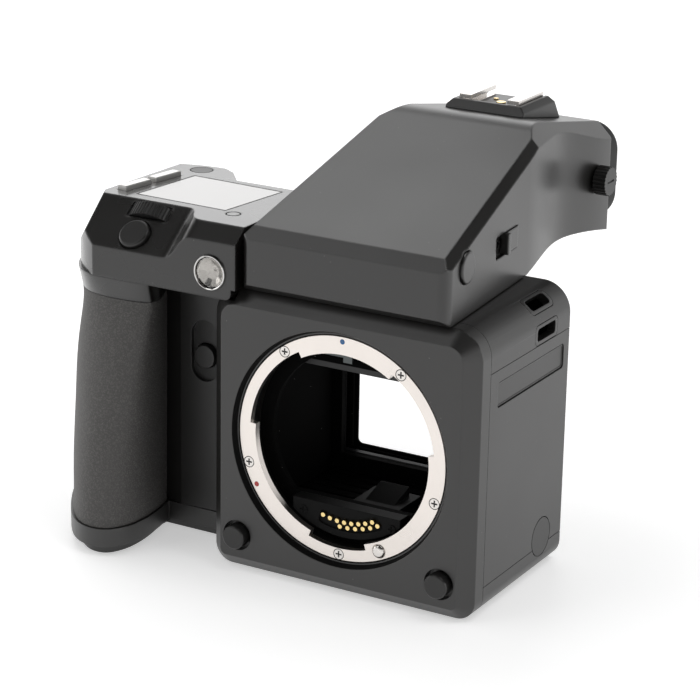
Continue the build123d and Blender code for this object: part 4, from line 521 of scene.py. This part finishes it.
def rounded_outline(left, right, low, top, radius, steps=8):
    """Points of a rectangle with rounded corners, counter-clockwise."""
    points = []
    near, far = left + radius, right - radius
    under, over = low + radius, top - radius
    for quarter, (centre_u, centre_v) in enumerate(((far, over), (near, over), (near, under), (far, under))):
        for step in range(steps + 1):
            turn = math.tau / 4 * (quarter + step / steps)
            points.append((centre_u + radius * math.cos(turn), centre_v + radius * math.sin(turn)))
    return points


def add_rings(shape, rings, capped):
    """Faces through rings of equally many points in millimetres, closed on themselves or capped."""
    rows = [[shape.verts.new([value * MM for value in point]) for point in ring] for ring in rings]
    pairs = list(zip(rows, rows[1:])) + ([] if capped else [(rows[-1], rows[0])])
    for here, after in pairs:
        for step in range(len(here)):
            ahead = (step + 1) % len(here)
            shape.faces.new((here[step], here[ahead], after[ahead], after[step]))
    if capped:
        shape.faces.new(rows[-1])
        shape.faces.new(list(reversed(rows[0])))


def stacked_rings(name, rings, capped):
    """A mesh through rings of equally many points."""
    shape = bmesh.new()
    add_rings(shape, rings, capped)
    bmesh.ops.recalc_face_normals(shape, faces=shape.faces)
    return finished_mesh(name, shape)


def rounded_copy(node, material_name, rounds, smooth_deg=32.0):
    """A copy of a node with its sharp edges rounded, which stands in for the node."""
    shape = welded_shape(node)
    bmesh.ops.dissolve_limit(shape, angle_limit=math.radians(FLAT_ANGLE_DEG), verts=shape.verts,
                             edges=shape.edges)
    for width, segments, picked in rounds:
        edges = [edge for edge in shape.edges if len(edge.link_faces) == 2
                 and edge.calc_face_angle(0.0) > math.radians(ROUNDED_FROM_DEG)
                 and picked((edge.verts[0].co + edge.verts[1].co) / (2 * MM), edge)]
        bmesh.ops.bevel(shape, geom=edges, offset=width, segments=segments, profile=0.5, affect="EDGES",
                        clamp_overlap=True, miter_outer="ARC")
    mesh = finished_mesh(node + "_rounded", shape)
    piece = new_piece(node + "_rounded", body_of_node(node), material_name, mesh)
    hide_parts(node)
    soft_shaded(piece, smooth_deg)
    return piece


# Rounded edges, with places in millimetres

SEAT_R = 33.5
# SEAT_R to GROOVE_R, deeper than GROOVE_TOP_Y, bounds the ring seat's groove, whose faces get a near-black
# material as painted shade
GROOVE_R = 36.5
GROOVE_TOP_Y = -1.85
RIM_SIDE_X = 38.0
RIM_TOP_Z = 36.5
RIM_FOOT_Z = -40.5
RIM_REAR_Y = 6.0
FRONT_BUTTON_XZ = (34.5, -33.9)
BUTTON_CLEAR_R = 5.5
SEAT_MOUTH_Y = -1.5
CORNER_LEFT_X = -37.5
CORNER_RIGHT_X = -35.0
CORNER_TOP_Z = 40.5
CORNER_LEAST_LEN = 5.0
COVER_LEAST_LEN = 0.8
RIM_SEGMENTS = 4
CORNER_SEGMENTS = 5
SMALL_SEGMENTS = 2
HOUSING_SMOOTH_DEG = 14.0


class OBJECT_OT_rounded_edges(bpy.types.Operator):
    """Rounds the edges of the front plate, the covers, the foot and the control housing's corner"""
    bl_idname = "object.rounded_edges"
    bl_label = "Rounded edges"

    def execute(self, context):
        """Builds the rounded pieces over their nodes."""
        width = context.scene.camera_edges
        plate = rounded_copy("front_plate", "front_paint",
                             ((width.plate, RIM_SEGMENTS, self.on_plate_rim),
                              (width.cover, SMALL_SEGMENTS, self.on_ring_seat)))
        # The faces of the ring seat's groove get a near-black second material: painted shade in the recess
        plate.data.materials.append(camera_finishes()["groove_paint"])
        for face in plate.data.polygons:
            off_axis = math.hypot(face.center.x, face.center.z)
            if SEAT_R * MM < off_axis < GROOVE_R * MM and face.center.y > GROOVE_TOP_Y * MM:
                face.material_index = 1
        rounded_copy("control_housing", "housing_moulding",
                     ((width.corner, CORNER_SEGMENTS, self.on_inner_corner),), HOUSING_SMOOTH_DEG)
        for node, slot, material_name in (("side_cover", "side_grey", "shell_paint"),
                                          ("top_cover", "side_grey", "shell_paint"),
                                          ("base_cover", "side_grey", "shell_paint"),
                                          ("grip_foot", "front_grey", "front_paint"),
                                          ("grip_collar", "black_plastic", "housing_moulding"),
                                          ("shoe_base", "black_plastic", "button_moulding")):
            rounded_copy(node, material_name, ((width.cover, SMALL_SEGMENTS, self.on_long_edge),))
        return {"FINISHED"}

    def on_plate_rim(self, middle, edge):
        """Whether an edge lies on the front plate's outer bevel."""
        outside = abs(middle.x) > RIM_SIDE_X or middle.z > RIM_TOP_Z or middle.z < RIM_FOOT_Z
        off_button = math.hypot(abs(middle.x) - FRONT_BUTTON_XZ[0], middle.z - FRONT_BUTTON_XZ[1])
        return outside and middle.y < RIM_REAR_Y and off_button > BUTTON_CLEAR_R

    def on_ring_seat(self, middle, edge):
        """Whether an edge lies on the mouth of the ring's seat or of a button's well."""
        return middle.y < SEAT_MOUTH_Y and not self.on_plate_rim(middle, edge)

    def on_inner_corner(self, middle, edge):
        """Whether an edge is the housing's lower inner corner."""
        along = abs(edge.verts[0].co.y - edge.verts[1].co.y) > CORNER_LEAST_LEN * MM
        return along and CORNER_LEFT_X < middle.x < CORNER_RIGHT_X and middle.z < CORNER_TOP_Z

    def on_long_edge(self, middle, edge):
        """Whether an edge is long enough to be rounded."""
        return edge.calc_length() > COVER_LEAST_LEN * MM


# Strap slots, with places in millimetres

UPPER_BEZEL = (40.141, 43.0, 40.068)
UPPER_BEZEL_DEG = 52.0
LOWER_BEZEL = (43.100, 43.0, 32.7)
BEZEL_REACH = 7.0
SLOT_HALF_LEN = 5.35
SLOT_HALF_H = 1.65
LONGER_SHARE = 0.13
WIDER_SHARE = 0.22


class OBJECT_OT_strap_slots(bpy.types.Operator):
    """Widens the slots of the strap bezels to a thin rim"""
    bl_idname = "object.strap_slots"
    bl_label = "Strap slots"

    def execute(self, context):
        """Builds the two bezels with their slots drawn out along and across."""
        shape = welded_shape("strap_bezels")
        for centre, lean_deg in ((Vector(UPPER_BEZEL), UPPER_BEZEL_DEG), (Vector(LOWER_BEZEL), 0.0)):
            lean = math.radians(lean_deg)
            along = Vector((0.0, 1.0, 0.0))
            across = Vector((-math.sin(lean), 0.0, math.cos(lean)))
            for vert in shape.verts:
                out = vert.co - centre * MM
                u, v = out.dot(along), out.dot(across)
                in_slot = abs(u) < SLOT_HALF_LEN * MM and abs(v) < SLOT_HALF_H * MM
                if in_slot and out.length < BEZEL_REACH * MM:
                    vert.co += along * (u * LONGER_SHARE) + across * (v * WIDER_SHARE)
        mesh = finished_mesh("strap_rims", shape)
        piece = new_piece("strap_rims", "camera", "shell_paint", mesh)
        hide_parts("strap_bezels")
        soft_shaded(piece)
        return {"FINISHED"}


# Painted shade for the mount screws, a dark cross in each slot and a dark ring round each head, with sizes in
# millimetres

SCREW_CIRCLE_R = 33.0
SCREW_ANGLES_DEG = (54.0, 126.0, -18.0, -90.0, -162.0)
SCREW_HEAD_R = 1.6
CROSS_ARM = 0.98
CROSS_HALF_W = 0.21
CROSS_FRONT_Y = 0.02
CROSS_REAR_Y = 0.35
# How far each circle of the dark ring of painted shade lies outside the head, and its depth
SCREW_SHADE_RING = ((-0.07, 0.01), (0.0, -0.035), (0.12, -0.035), (0.2, 0.01))
SCREW_SHADE_STEPS = 40


class OBJECT_OT_screw_painted_shade(bpy.types.Operator):
    """Puts dark painted shade in the cross slots and around the heads of the mount screws"""
    bl_idname = "object.screw_grime"
    bl_label = "Screw painted shade"

    def execute(self, context):
        """Builds a dark filled cross and a thin dark ring for each screw, as painted shade."""
        shape = bmesh.new()
        arm, half = CROSS_ARM, CROSS_HALF_W
        cross = ((-half, -arm), (half, -arm), (half, -half), (arm, -half), (arm, half), (half, half),
                 (half, arm), (-half, arm), (-half, half), (-arm, half), (-arm, -half), (-half, -half))
        for angle in SCREW_ANGLES_DEG:
            turn = math.radians(angle)
            x, z = SCREW_CIRCLE_R * math.cos(turn), SCREW_CIRCLE_R * math.sin(turn)
            add_rings(shape, [[(x + u, y, z + v) for u, v in cross] for y in (CROSS_FRONT_Y, CROSS_REAR_Y)],
                      True)
            add_rings(shape, [[(x + u, y, z + v) for u, v in circle(SCREW_HEAD_R + outset, SCREW_SHADE_STEPS)]
                              for outset, y in SCREW_SHADE_RING], False)
        bmesh.ops.recalc_face_normals(shape, faces=shape.faces)
        # The near-black pieces are painted shade in the slots and in the gap round each head
        new_piece("screw_grime", "camera", "seal_rubber", finished_mesh("screw_grime", shape))
        return {"FINISHED"}


# How far each ring of the seal lies outside the window, and its height over the window, in millimetres
SEAL_RINGS = ((-0.12, 0.01), (-0.08, 0.06), (0.26, 0.06), (0.3, 0.01))
TOP_FACE_DEPTH = 0.02


class OBJECT_OT_window_seal(bpy.types.Operator):
    """Lays a thin dark seal around the display window"""
    bl_idname = "object.window_seal"
    bl_label = "Window seal"

    def execute(self, context):
        """Builds the seal just outside the window's top face."""
        source = frame["nodes"]["display_window"].data
        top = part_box("display_window")[1][2]
        corners = {tuple(round(value / MM, 3) for value in vert.co.xy) for vert in source.vertices
                   if vert.co.z > top - TOP_FACE_DEPTH * MM}
        middle = Vector([sum(values) / len(corners) for values in zip(*corners)])
        outline = sorted((Vector(corner) for corner in corners),
                         key=lambda spot: math.atan2(spot.y - middle.y, spot.x - middle.x))
        rings = []
        for outset, rise in SEAL_RINGS:
            moved = [spot + (spot - middle).normalized() * outset for spot in outline]
            rings.append([(spot.x, spot.y, top / MM + rise) for spot in moved])
        mesh = stacked_rings("window_seal", rings, False)
        soft_shaded(new_piece("window_seal", "camera", "seal_rubber", mesh))
        return {"FINISHED"}


# Side nameplate, with places in millimetres

NAMEPLATE_EDGES = (12.3, 55.3, 18.1, 25.3)
NAMEPLATE_CORNER_R = 1.1
NAMEPLATE_FLOOR_X = 43.72
NAMEPLATE_TOP_X = 44.12
NAMEPLATE_SOFTENING = 0.1
NAMEPLATE_SLOPE = 0.12
NAMEPLATE_SINK = 0.16


class OBJECT_OT_side_nameplate(bpy.types.Operator):
    """Sets a bare enamelled plate with a raised rim into the side cover's recess"""
    bl_idname = "object.side_nameplate"
    bl_label = "Side nameplate"

    def execute(self, context):
        """Builds the plate and its rim."""
        rim = context.scene.camera_detail.plate_rim / MM
        left, right, low, top = NAMEPLATE_EDGES
        rings = []
        for inset, x in ((0.0, NAMEPLATE_FLOOR_X), (0.0, NAMEPLATE_TOP_X - NAMEPLATE_SOFTENING),
                         (NAMEPLATE_SOFTENING, NAMEPLATE_TOP_X), (rim, NAMEPLATE_TOP_X),
                         (rim + NAMEPLATE_SLOPE, NAMEPLATE_TOP_X - NAMEPLATE_SINK)):
            outline = rounded_outline(left + inset, right - inset, low + inset, top - inset,
                                      NAMEPLATE_CORNER_R - inset / 2)
            rings.append([(x, u, v) for u, v in outline])
        mesh = stacked_rings("side_nameplate", rings, True)
        soft_shaded(new_piece("side_nameplate", "camera", "plate_enamel", mesh))
        return {"FINISHED"}


# Focus lamp: rows of a radius and a depth in millimetres. The rim's radii are offsets from the cover's radius
# inside and from the rim's own radius outside, and the other radii are shares of the cover's radius
LAMP_STEPS = 64
LAMP_RIM_INSIDE = ((0.05, 0.35), (0.12, 0.12), (0.28, 0.0))
LAMP_RIM_OUTSIDE = ((-0.12, 0.05), (0.0, 0.22))
COVER_PROFILE_SHARES = ((1.0, 0.95), (1.0, 0.7), (0.9, 0.42), (0.66, 0.17), (0.35, 0.04))
COVER_INSIDE_SHARES = ((0.35, 0.34), (0.66, 0.47), (0.86, 0.72), (0.9, 0.95))
COVER_POLE_R = 0.02
COVER_THICK = 0.3
REFLECTOR_SHARES = ((0.97, 1.0), (0.52, 2.1), (0.10, 2.7))
REFLECTOR_BACK_GAP = 0.05


class OBJECT_OT_focus_lamp(bpy.types.Operator):
    """Builds the focus lamp: a chrome rim, a faceted reflector and a clear domed cover"""
    bl_idname = "object.focus_lamp"
    bl_label = "Focus lamp"

    def execute(self, context):
        """Builds the rim and the cover over their nodes, and the reflector between them."""
        detail = context.scene.camera_detail
        low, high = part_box("lamp_bezel")
        self.centre = Vector(((low[0] + high[0]) / 2, low[1], (low[2] + high[2]) / 2)) / MM
        outer = (high[0] - low[0]) / 2 / MM
        deep = (high[1] - low[1]) / MM
        inner = detail.lamp_radius / MM
        profile = [(inner + LAMP_RIM_INSIDE[0][0], deep)]
        profile += [(inner + offset, depth) for offset, depth in LAMP_RIM_INSIDE]
        profile += [(outer + offset, depth) for offset, depth in LAMP_RIM_OUTSIDE]
        rim = self.turned("lamp_rim", profile + [(outer, deep)])
        rim_piece = new_piece("lamp_rim", "camera", "lamp_chrome", rim)
        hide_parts("lamp_bezel")
        soft_shaded(rim_piece)
        outside = [(inner * share, depth) for share, depth in COVER_PROFILE_SHARES]
        inside = [(inner * share, depth) for share, depth in COVER_INSIDE_SHARES]
        pole = [(COVER_POLE_R, 0.0), (COVER_POLE_R, COVER_THICK)]
        cover = self.turned("lamp_cover", outside + pole + inside)
        cover_piece = new_piece("lamp_cover", "camera", "lamp_glass", cover)
        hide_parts("lamp_lens")
        soft_shaded(cover_piece)
        rings = [self.ring(inner * share, depth, detail.facets) for share, depth in REFLECTOR_SHARES]
        back = [(x, self.centre.y + deep - REFLECTOR_BACK_GAP, z) for x, y, z in rings[0]]
        dish = stacked_rings("lamp_reflector", [back] + rings, True)
        new_piece("lamp_reflector", "camera", "reflector_silver", dish)
        return {"FINISHED"}

    def ring(self, radius, depth, steps):
        """One circle about the lamp's axis."""
        return [(self.centre.x + u, self.centre.y + depth, self.centre.z + v)
                for u, v in circle(radius, steps)]

    def turned(self, name, profile):
        """A turned mesh about the lamp's axis from radii and depths."""
        rings = [self.ring(radius, depth, LAMP_STEPS) for radius, depth in profile]
        return stacked_rings(name, rings, False)


# Mirror lip, in millimetres: points of its section, each so far behind the frame's front edge and so far over
# the lip's foot or over its top
LIP_FOOT_POINTS = ((0.1, 0.5), (0.25, 0.15), (0.6, 0.0), (1.1, 0.1), (1.4, 0.5))
LIP_TOP_POINTS = ((2.2, -0.2), (2.4, 0.1), (0.1, 0.1))
LIP_UNDER_MIRROR = 2.0
LIP_END_LEN = 0.3
LIP_END_INSET = 0.25
LIP_END_TAPER_SHARE = 0.4


class OBJECT_OT_mirror_lip(bpy.types.Operator):
    """Hangs the light seal's lip under the front edge of the reflex mirror"""
    bl_idname = "object.mirror_lip"
    bl_label = "Mirror lip"

    def execute(self, context):
        """Builds the lip below the mirror frame's front edge."""
        front_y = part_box("mirror_frame")[0][1] / MM
        mirror_low, mirror_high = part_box("main_mirror")
        top_z, half = mirror_low[2] / MM - LIP_UNDER_MIRROR, mirror_high[0] / MM
        foot_z = top_z - context.scene.camera_detail.lip_depth / MM
        section = [(front_y + back, foot_z + rise) for back, rise in LIP_FOOT_POINTS]
        section += [(front_y + back, top_z + rise) for back, rise in LIP_TOP_POINTS]
        rings = []
        for x, inset in ((-half, LIP_END_INSET), (-half + LIP_END_LEN, 0.0), (half - LIP_END_LEN, 0.0),
                         (half, LIP_END_INSET)):
            rings.append([(x, y + inset * LIP_END_TAPER_SHARE, z + inset) for y, z in section])
        mesh = stacked_rings("mirror_lip", rings, True)
        soft_shaded(new_piece("mirror_lip", body_of_node("mirror_frame"), "lip_paint", mesh))
        return {"FINISHED"}


# Gate mask, with places in millimetres

MASK_FRONT_Y = 57.0
MASK_REAR_Y = 58.0
MASK_SLOPE = 0.1
MASK_OUTER_EDGES = (-28.4, 28.4, -23.0, 22.6)
MASK_OUTER_R = 2.0
MASK_INNER_EDGES = (-26.6, 26.6, -21.3, 21.1)
MASK_INNER_R = 1.7


class OBJECT_OT_gate_mask(bpy.types.Operator):
    """Lines the rear opening with a thin mask that has rounded corners"""
    bl_idname = "object.gate_mask"
    bl_label = "Gate mask"

    def execute(self, context):
        """Builds the mask inside the rear frame's opening."""
        rings = []
        for edges, radius, y in ((MASK_OUTER_EDGES, MASK_OUTER_R, MASK_FRONT_Y),
                                 (MASK_INNER_EDGES, MASK_INNER_R, MASK_FRONT_Y + MASK_SLOPE),
                                 (MASK_INNER_EDGES, MASK_INNER_R, MASK_REAR_Y),
                                 (MASK_OUTER_EDGES, MASK_OUTER_R, MASK_REAR_Y)):
            rings.append([(u, y, v) for u, v in rounded_outline(*edges, radius)])
        mesh = stacked_rings("gate_mask", rings, False)
        soft_shaded(new_piece("gate_mask", "camera", "inner_paint", mesh))
        return {"FINISHED"}


# Studio

IMAGE_PIXELS = 700.0
SENSOR_MM = 36.0
MOUNT_PIXEL = (340.4379, 449.8811)
FLOOR_GAP = 0.0001
FLOOR_GLOW = 0.45
SWEEP_TOP = 0.36
CEILING_FROM = 0.52
CEILING_LEVEL = 0.03
# Name, azimuth and elevation in degrees, distance and size in metres, power in watts
SOFTBOXES = (
    ("right_strip", 98.0, 10.0, 1.7, 0.9, 5.0),
    ("left_softbox", -82.0, 20.0, 1.7, 0.8, 3.0),
    ("top_softbox", -128.0, 56.0, 1.5, 0.75, 3.9),
    ("back_panel", -150.0, 20.0, 1.7, 0.9, 2.1),
    ("high_softbox", 96.0, 68.0, 1.5, 0.5, 3.0),
    ("front_softbox", -46.0, 50.0, 1.5, 0.6, 2.0),
)


def direction(azimuth, elevation):
    """A unit vector from the camera body toward an azimuth and an elevation in radians."""
    return Vector((math.sin(azimuth) * math.cos(elevation), -math.cos(azimuth) * math.cos(elevation),
                   math.sin(elevation)))


def greatest(tree, *factors):
    """The greatest of several outputs."""
    total = factors[0]
    for factor in factors[1:]:
        total = maths(tree, "MAXIMUM", total, factor)
    return total


class OBJECT_OT_camera_stage(bpy.types.Operator):
    """Sets up the floor, the soft lights and the camera"""
    bl_idname = "object.camera_stage"
    bl_label = "Studio"

    def execute(self, context):
        """Builds the stage from its settings."""
        look = context.scene.camera_stage
        self.floor(context, look)
        self.world(context, look)
        for values in SOFTBOXES:
            self.softbox(context, *values)
        self.camera(context, look)
        context.scene.view_settings.view_transform = "Standard"
        return {"FINISHED"}

    def floor(self, context, look):
        """A large pale floor that keeps its shadow and is clear from below."""
        mesh = bpy.data.meshes.new("floor")
        half = look.floor_size / 2
        low = cad_box[0][2] - FLOOR_GAP
        mesh.from_pydata([(-half, -half, low), (half, -half, low), (half, half, low), (-half, half, low)], [],
                         [(0, 1, 2, 3)])
        floor = bpy.data.objects.new("floor", mesh)
        context.collection.objects.link(floor)
        material = finish("floor_paper", (0.86, 0.86, 0.86), 0.55, tone=0.005, bump=0.01, edge=0.0,
                          specular=0.3)
        tree = material.node_tree
        path = add_node(tree, "ShaderNodeLightPath").outputs
        seen = greatest(tree, path["Is Camera Ray"], path["Is Glossy Ray"], path["Is Transmission Ray"])
        glow = add_node(tree, "ShaderNodeEmission")
        tree.links.new(maths(tree, "MULTIPLY", seen, FLOOR_GLOW), glow.inputs["Strength"])
        total = add_node(tree, "ShaderNodeAddShader")
        tree.links.new(tree.nodes["Principled BSDF"].outputs[0], total.inputs[0])
        tree.links.new(glow.outputs[0], total.inputs[1])
        clear = add_node(tree, "ShaderNodeBsdfTransparent")
        sides = add_node(tree, "ShaderNodeMixShader")
        tree.links.new(add_node(tree, "ShaderNodeNewGeometry").outputs["Backfacing"], sides.inputs[0])
        tree.links.new(total.outputs[0], sides.inputs[1])
        tree.links.new(clear.outputs[0], sides.inputs[2])
        tree.links.new(sides.outputs[0], tree.nodes["Material Output"].inputs["Surface"])
        mesh.materials.append(material)

    def world(self, context, look):
        """A white sweep up to a low height with a dim ceiling over it, and white behind the object."""
        world = bpy.data.worlds.new("studio_world")
        world.use_nodes = True
        tree = world.node_tree
        ground = tree.nodes["Background"]
        ground.inputs["Color"].default_value = (1.0, 1.0, 1.0, 1.0)
        parts = add_node(tree, "ShaderNodeSeparateXYZ")
        tree.links.new(add_node(tree, "ShaderNodeTexCoord").outputs["Generated"], parts.inputs[0])
        room = remap(tree, parts.outputs["Z"], SWEEP_TOP, CEILING_FROM, 1.0, CEILING_LEVEL)
        path = add_node(tree, "ShaderNodeLightPath").outputs
        mirrored = greatest(tree, path["Is Glossy Ray"], path["Is Transmission Ray"])
        shown = greatest(tree, path["Is Camera Ray"], maths(tree, "MULTIPLY", mirrored, room))
        plain = maths(tree, "SUBTRACT", 1.0, greatest(tree, path["Is Camera Ray"], mirrored))
        strength = maths(tree, "ADD", shown, maths(tree, "MULTIPLY", plain, look.ambient))
        tree.links.new(strength, ground.inputs["Strength"])
        context.scene.world = world

    def softbox(self, context, name, azimuth_deg, elevation_deg, distance, size, watts):
        """A square soft light that looks at the camera body."""
        lamp = bpy.data.lights.new(name, "AREA")
        lamp.size = size
        lamp.energy = watts
        light = bpy.data.objects.new(name, lamp)
        out = direction(math.radians(azimuth_deg), math.radians(elevation_deg))
        light.location = out * distance
        light.rotation_euler = out.to_track_quat("Z", "Y").to_euler()
        context.collection.objects.link(light)

    def camera(self, context, look):
        """The camera at the photographed viewing angle."""
        lens = bpy.data.cameras.new("view_camera")
        lens.sensor_width = SENSOR_MM
        lens.lens = look.lens
        lens.clip_start = 0.01
        camera = bpy.data.objects.new("view_camera", lens)
        back = direction(look.azimuth, look.elevation)
        level = (-back).cross(Vector((0, 0, 1))).normalized()
        upright = level.cross(-back)
        right = level * math.cos(look.roll) + upright * math.sin(look.roll)
        up = upright * math.cos(look.roll) - level * math.sin(look.roll)
        aim = Matrix((right, up, back)).transposed()
        focal_pixels = look.lens / SENSOR_MM * IMAGE_PIXELS
        across, down = (pixel - IMAGE_PIXELS / 2 for pixel in MOUNT_PIXEL)
        aside = Vector((across / focal_pixels, -down / focal_pixels, -1.0))
        camera.matrix_world = Matrix.Translation(aim @ (-aside * look.distance)) @ aim.to_4x4()
        context.collection.objects.link(camera)
        context.scene.camera = camera


class VIEW3D_PT_camera_body(bpy.types.Panel):
    """Lists the steps that build the camera body"""
    bl_idname = "VIEW3D_PT_camera_body"
    bl_label = "Camera Body"
    bl_space_type = "VIEW_3D"
    bl_region_type = "UI"
    bl_category = "Camera Body"

    def draw(self, context):
        """Draws one button a step and the settings."""
        for operator in STEPS:
            self.layout.operator(operator.bl_idname)
        for group in ("camera_finish", "camera_edges", "camera_detail", "camera_stage"):
            settings = getattr(context.scene, group)
            column = self.layout.column()
            for key in settings.__annotations__:
                column.prop(settings, key)


STEPS = (OBJECT_OT_camera_finishes, OBJECT_OT_rounded_edges, OBJECT_OT_strap_slots, OBJECT_OT_screw_painted_shade,
         OBJECT_OT_window_seal, OBJECT_OT_side_nameplate, OBJECT_OT_focus_lamp, OBJECT_OT_mirror_lip,
         OBJECT_OT_gate_mask, OBJECT_OT_camera_stage)
CLASSES = (FinishSettings, EdgeSettings, DetailSettings, StageSettings, *STEPS, VIEW3D_PT_camera_body)


def register():
    """Registers the classes and the scene's settings."""
    for item in CLASSES:
        bpy.utils.register_class(item)
    bpy.types.Scene.camera_finish = PointerProperty(type=FinishSettings)
    bpy.types.Scene.camera_edges = PointerProperty(type=EdgeSettings)
    bpy.types.Scene.camera_detail = PointerProperty(type=DetailSettings)
    bpy.types.Scene.camera_stage = PointerProperty(type=StageSettings)


def unregister():
    """Removes the scene's settings and the classes."""
    del bpy.types.Scene.camera_finish
    del bpy.types.Scene.camera_edges
    del bpy.types.Scene.camera_detail
    del bpy.types.Scene.camera_stage
    for item in reversed(CLASSES):
        bpy.utils.unregister_class(item)


def main():
    """Builds the camera body."""
    register()
    for step in STEPS:
        group, name = step.bl_idname.split(".")
        getattr(getattr(bpy.ops, group), name)()


if __name__ == "__main__":
    main()
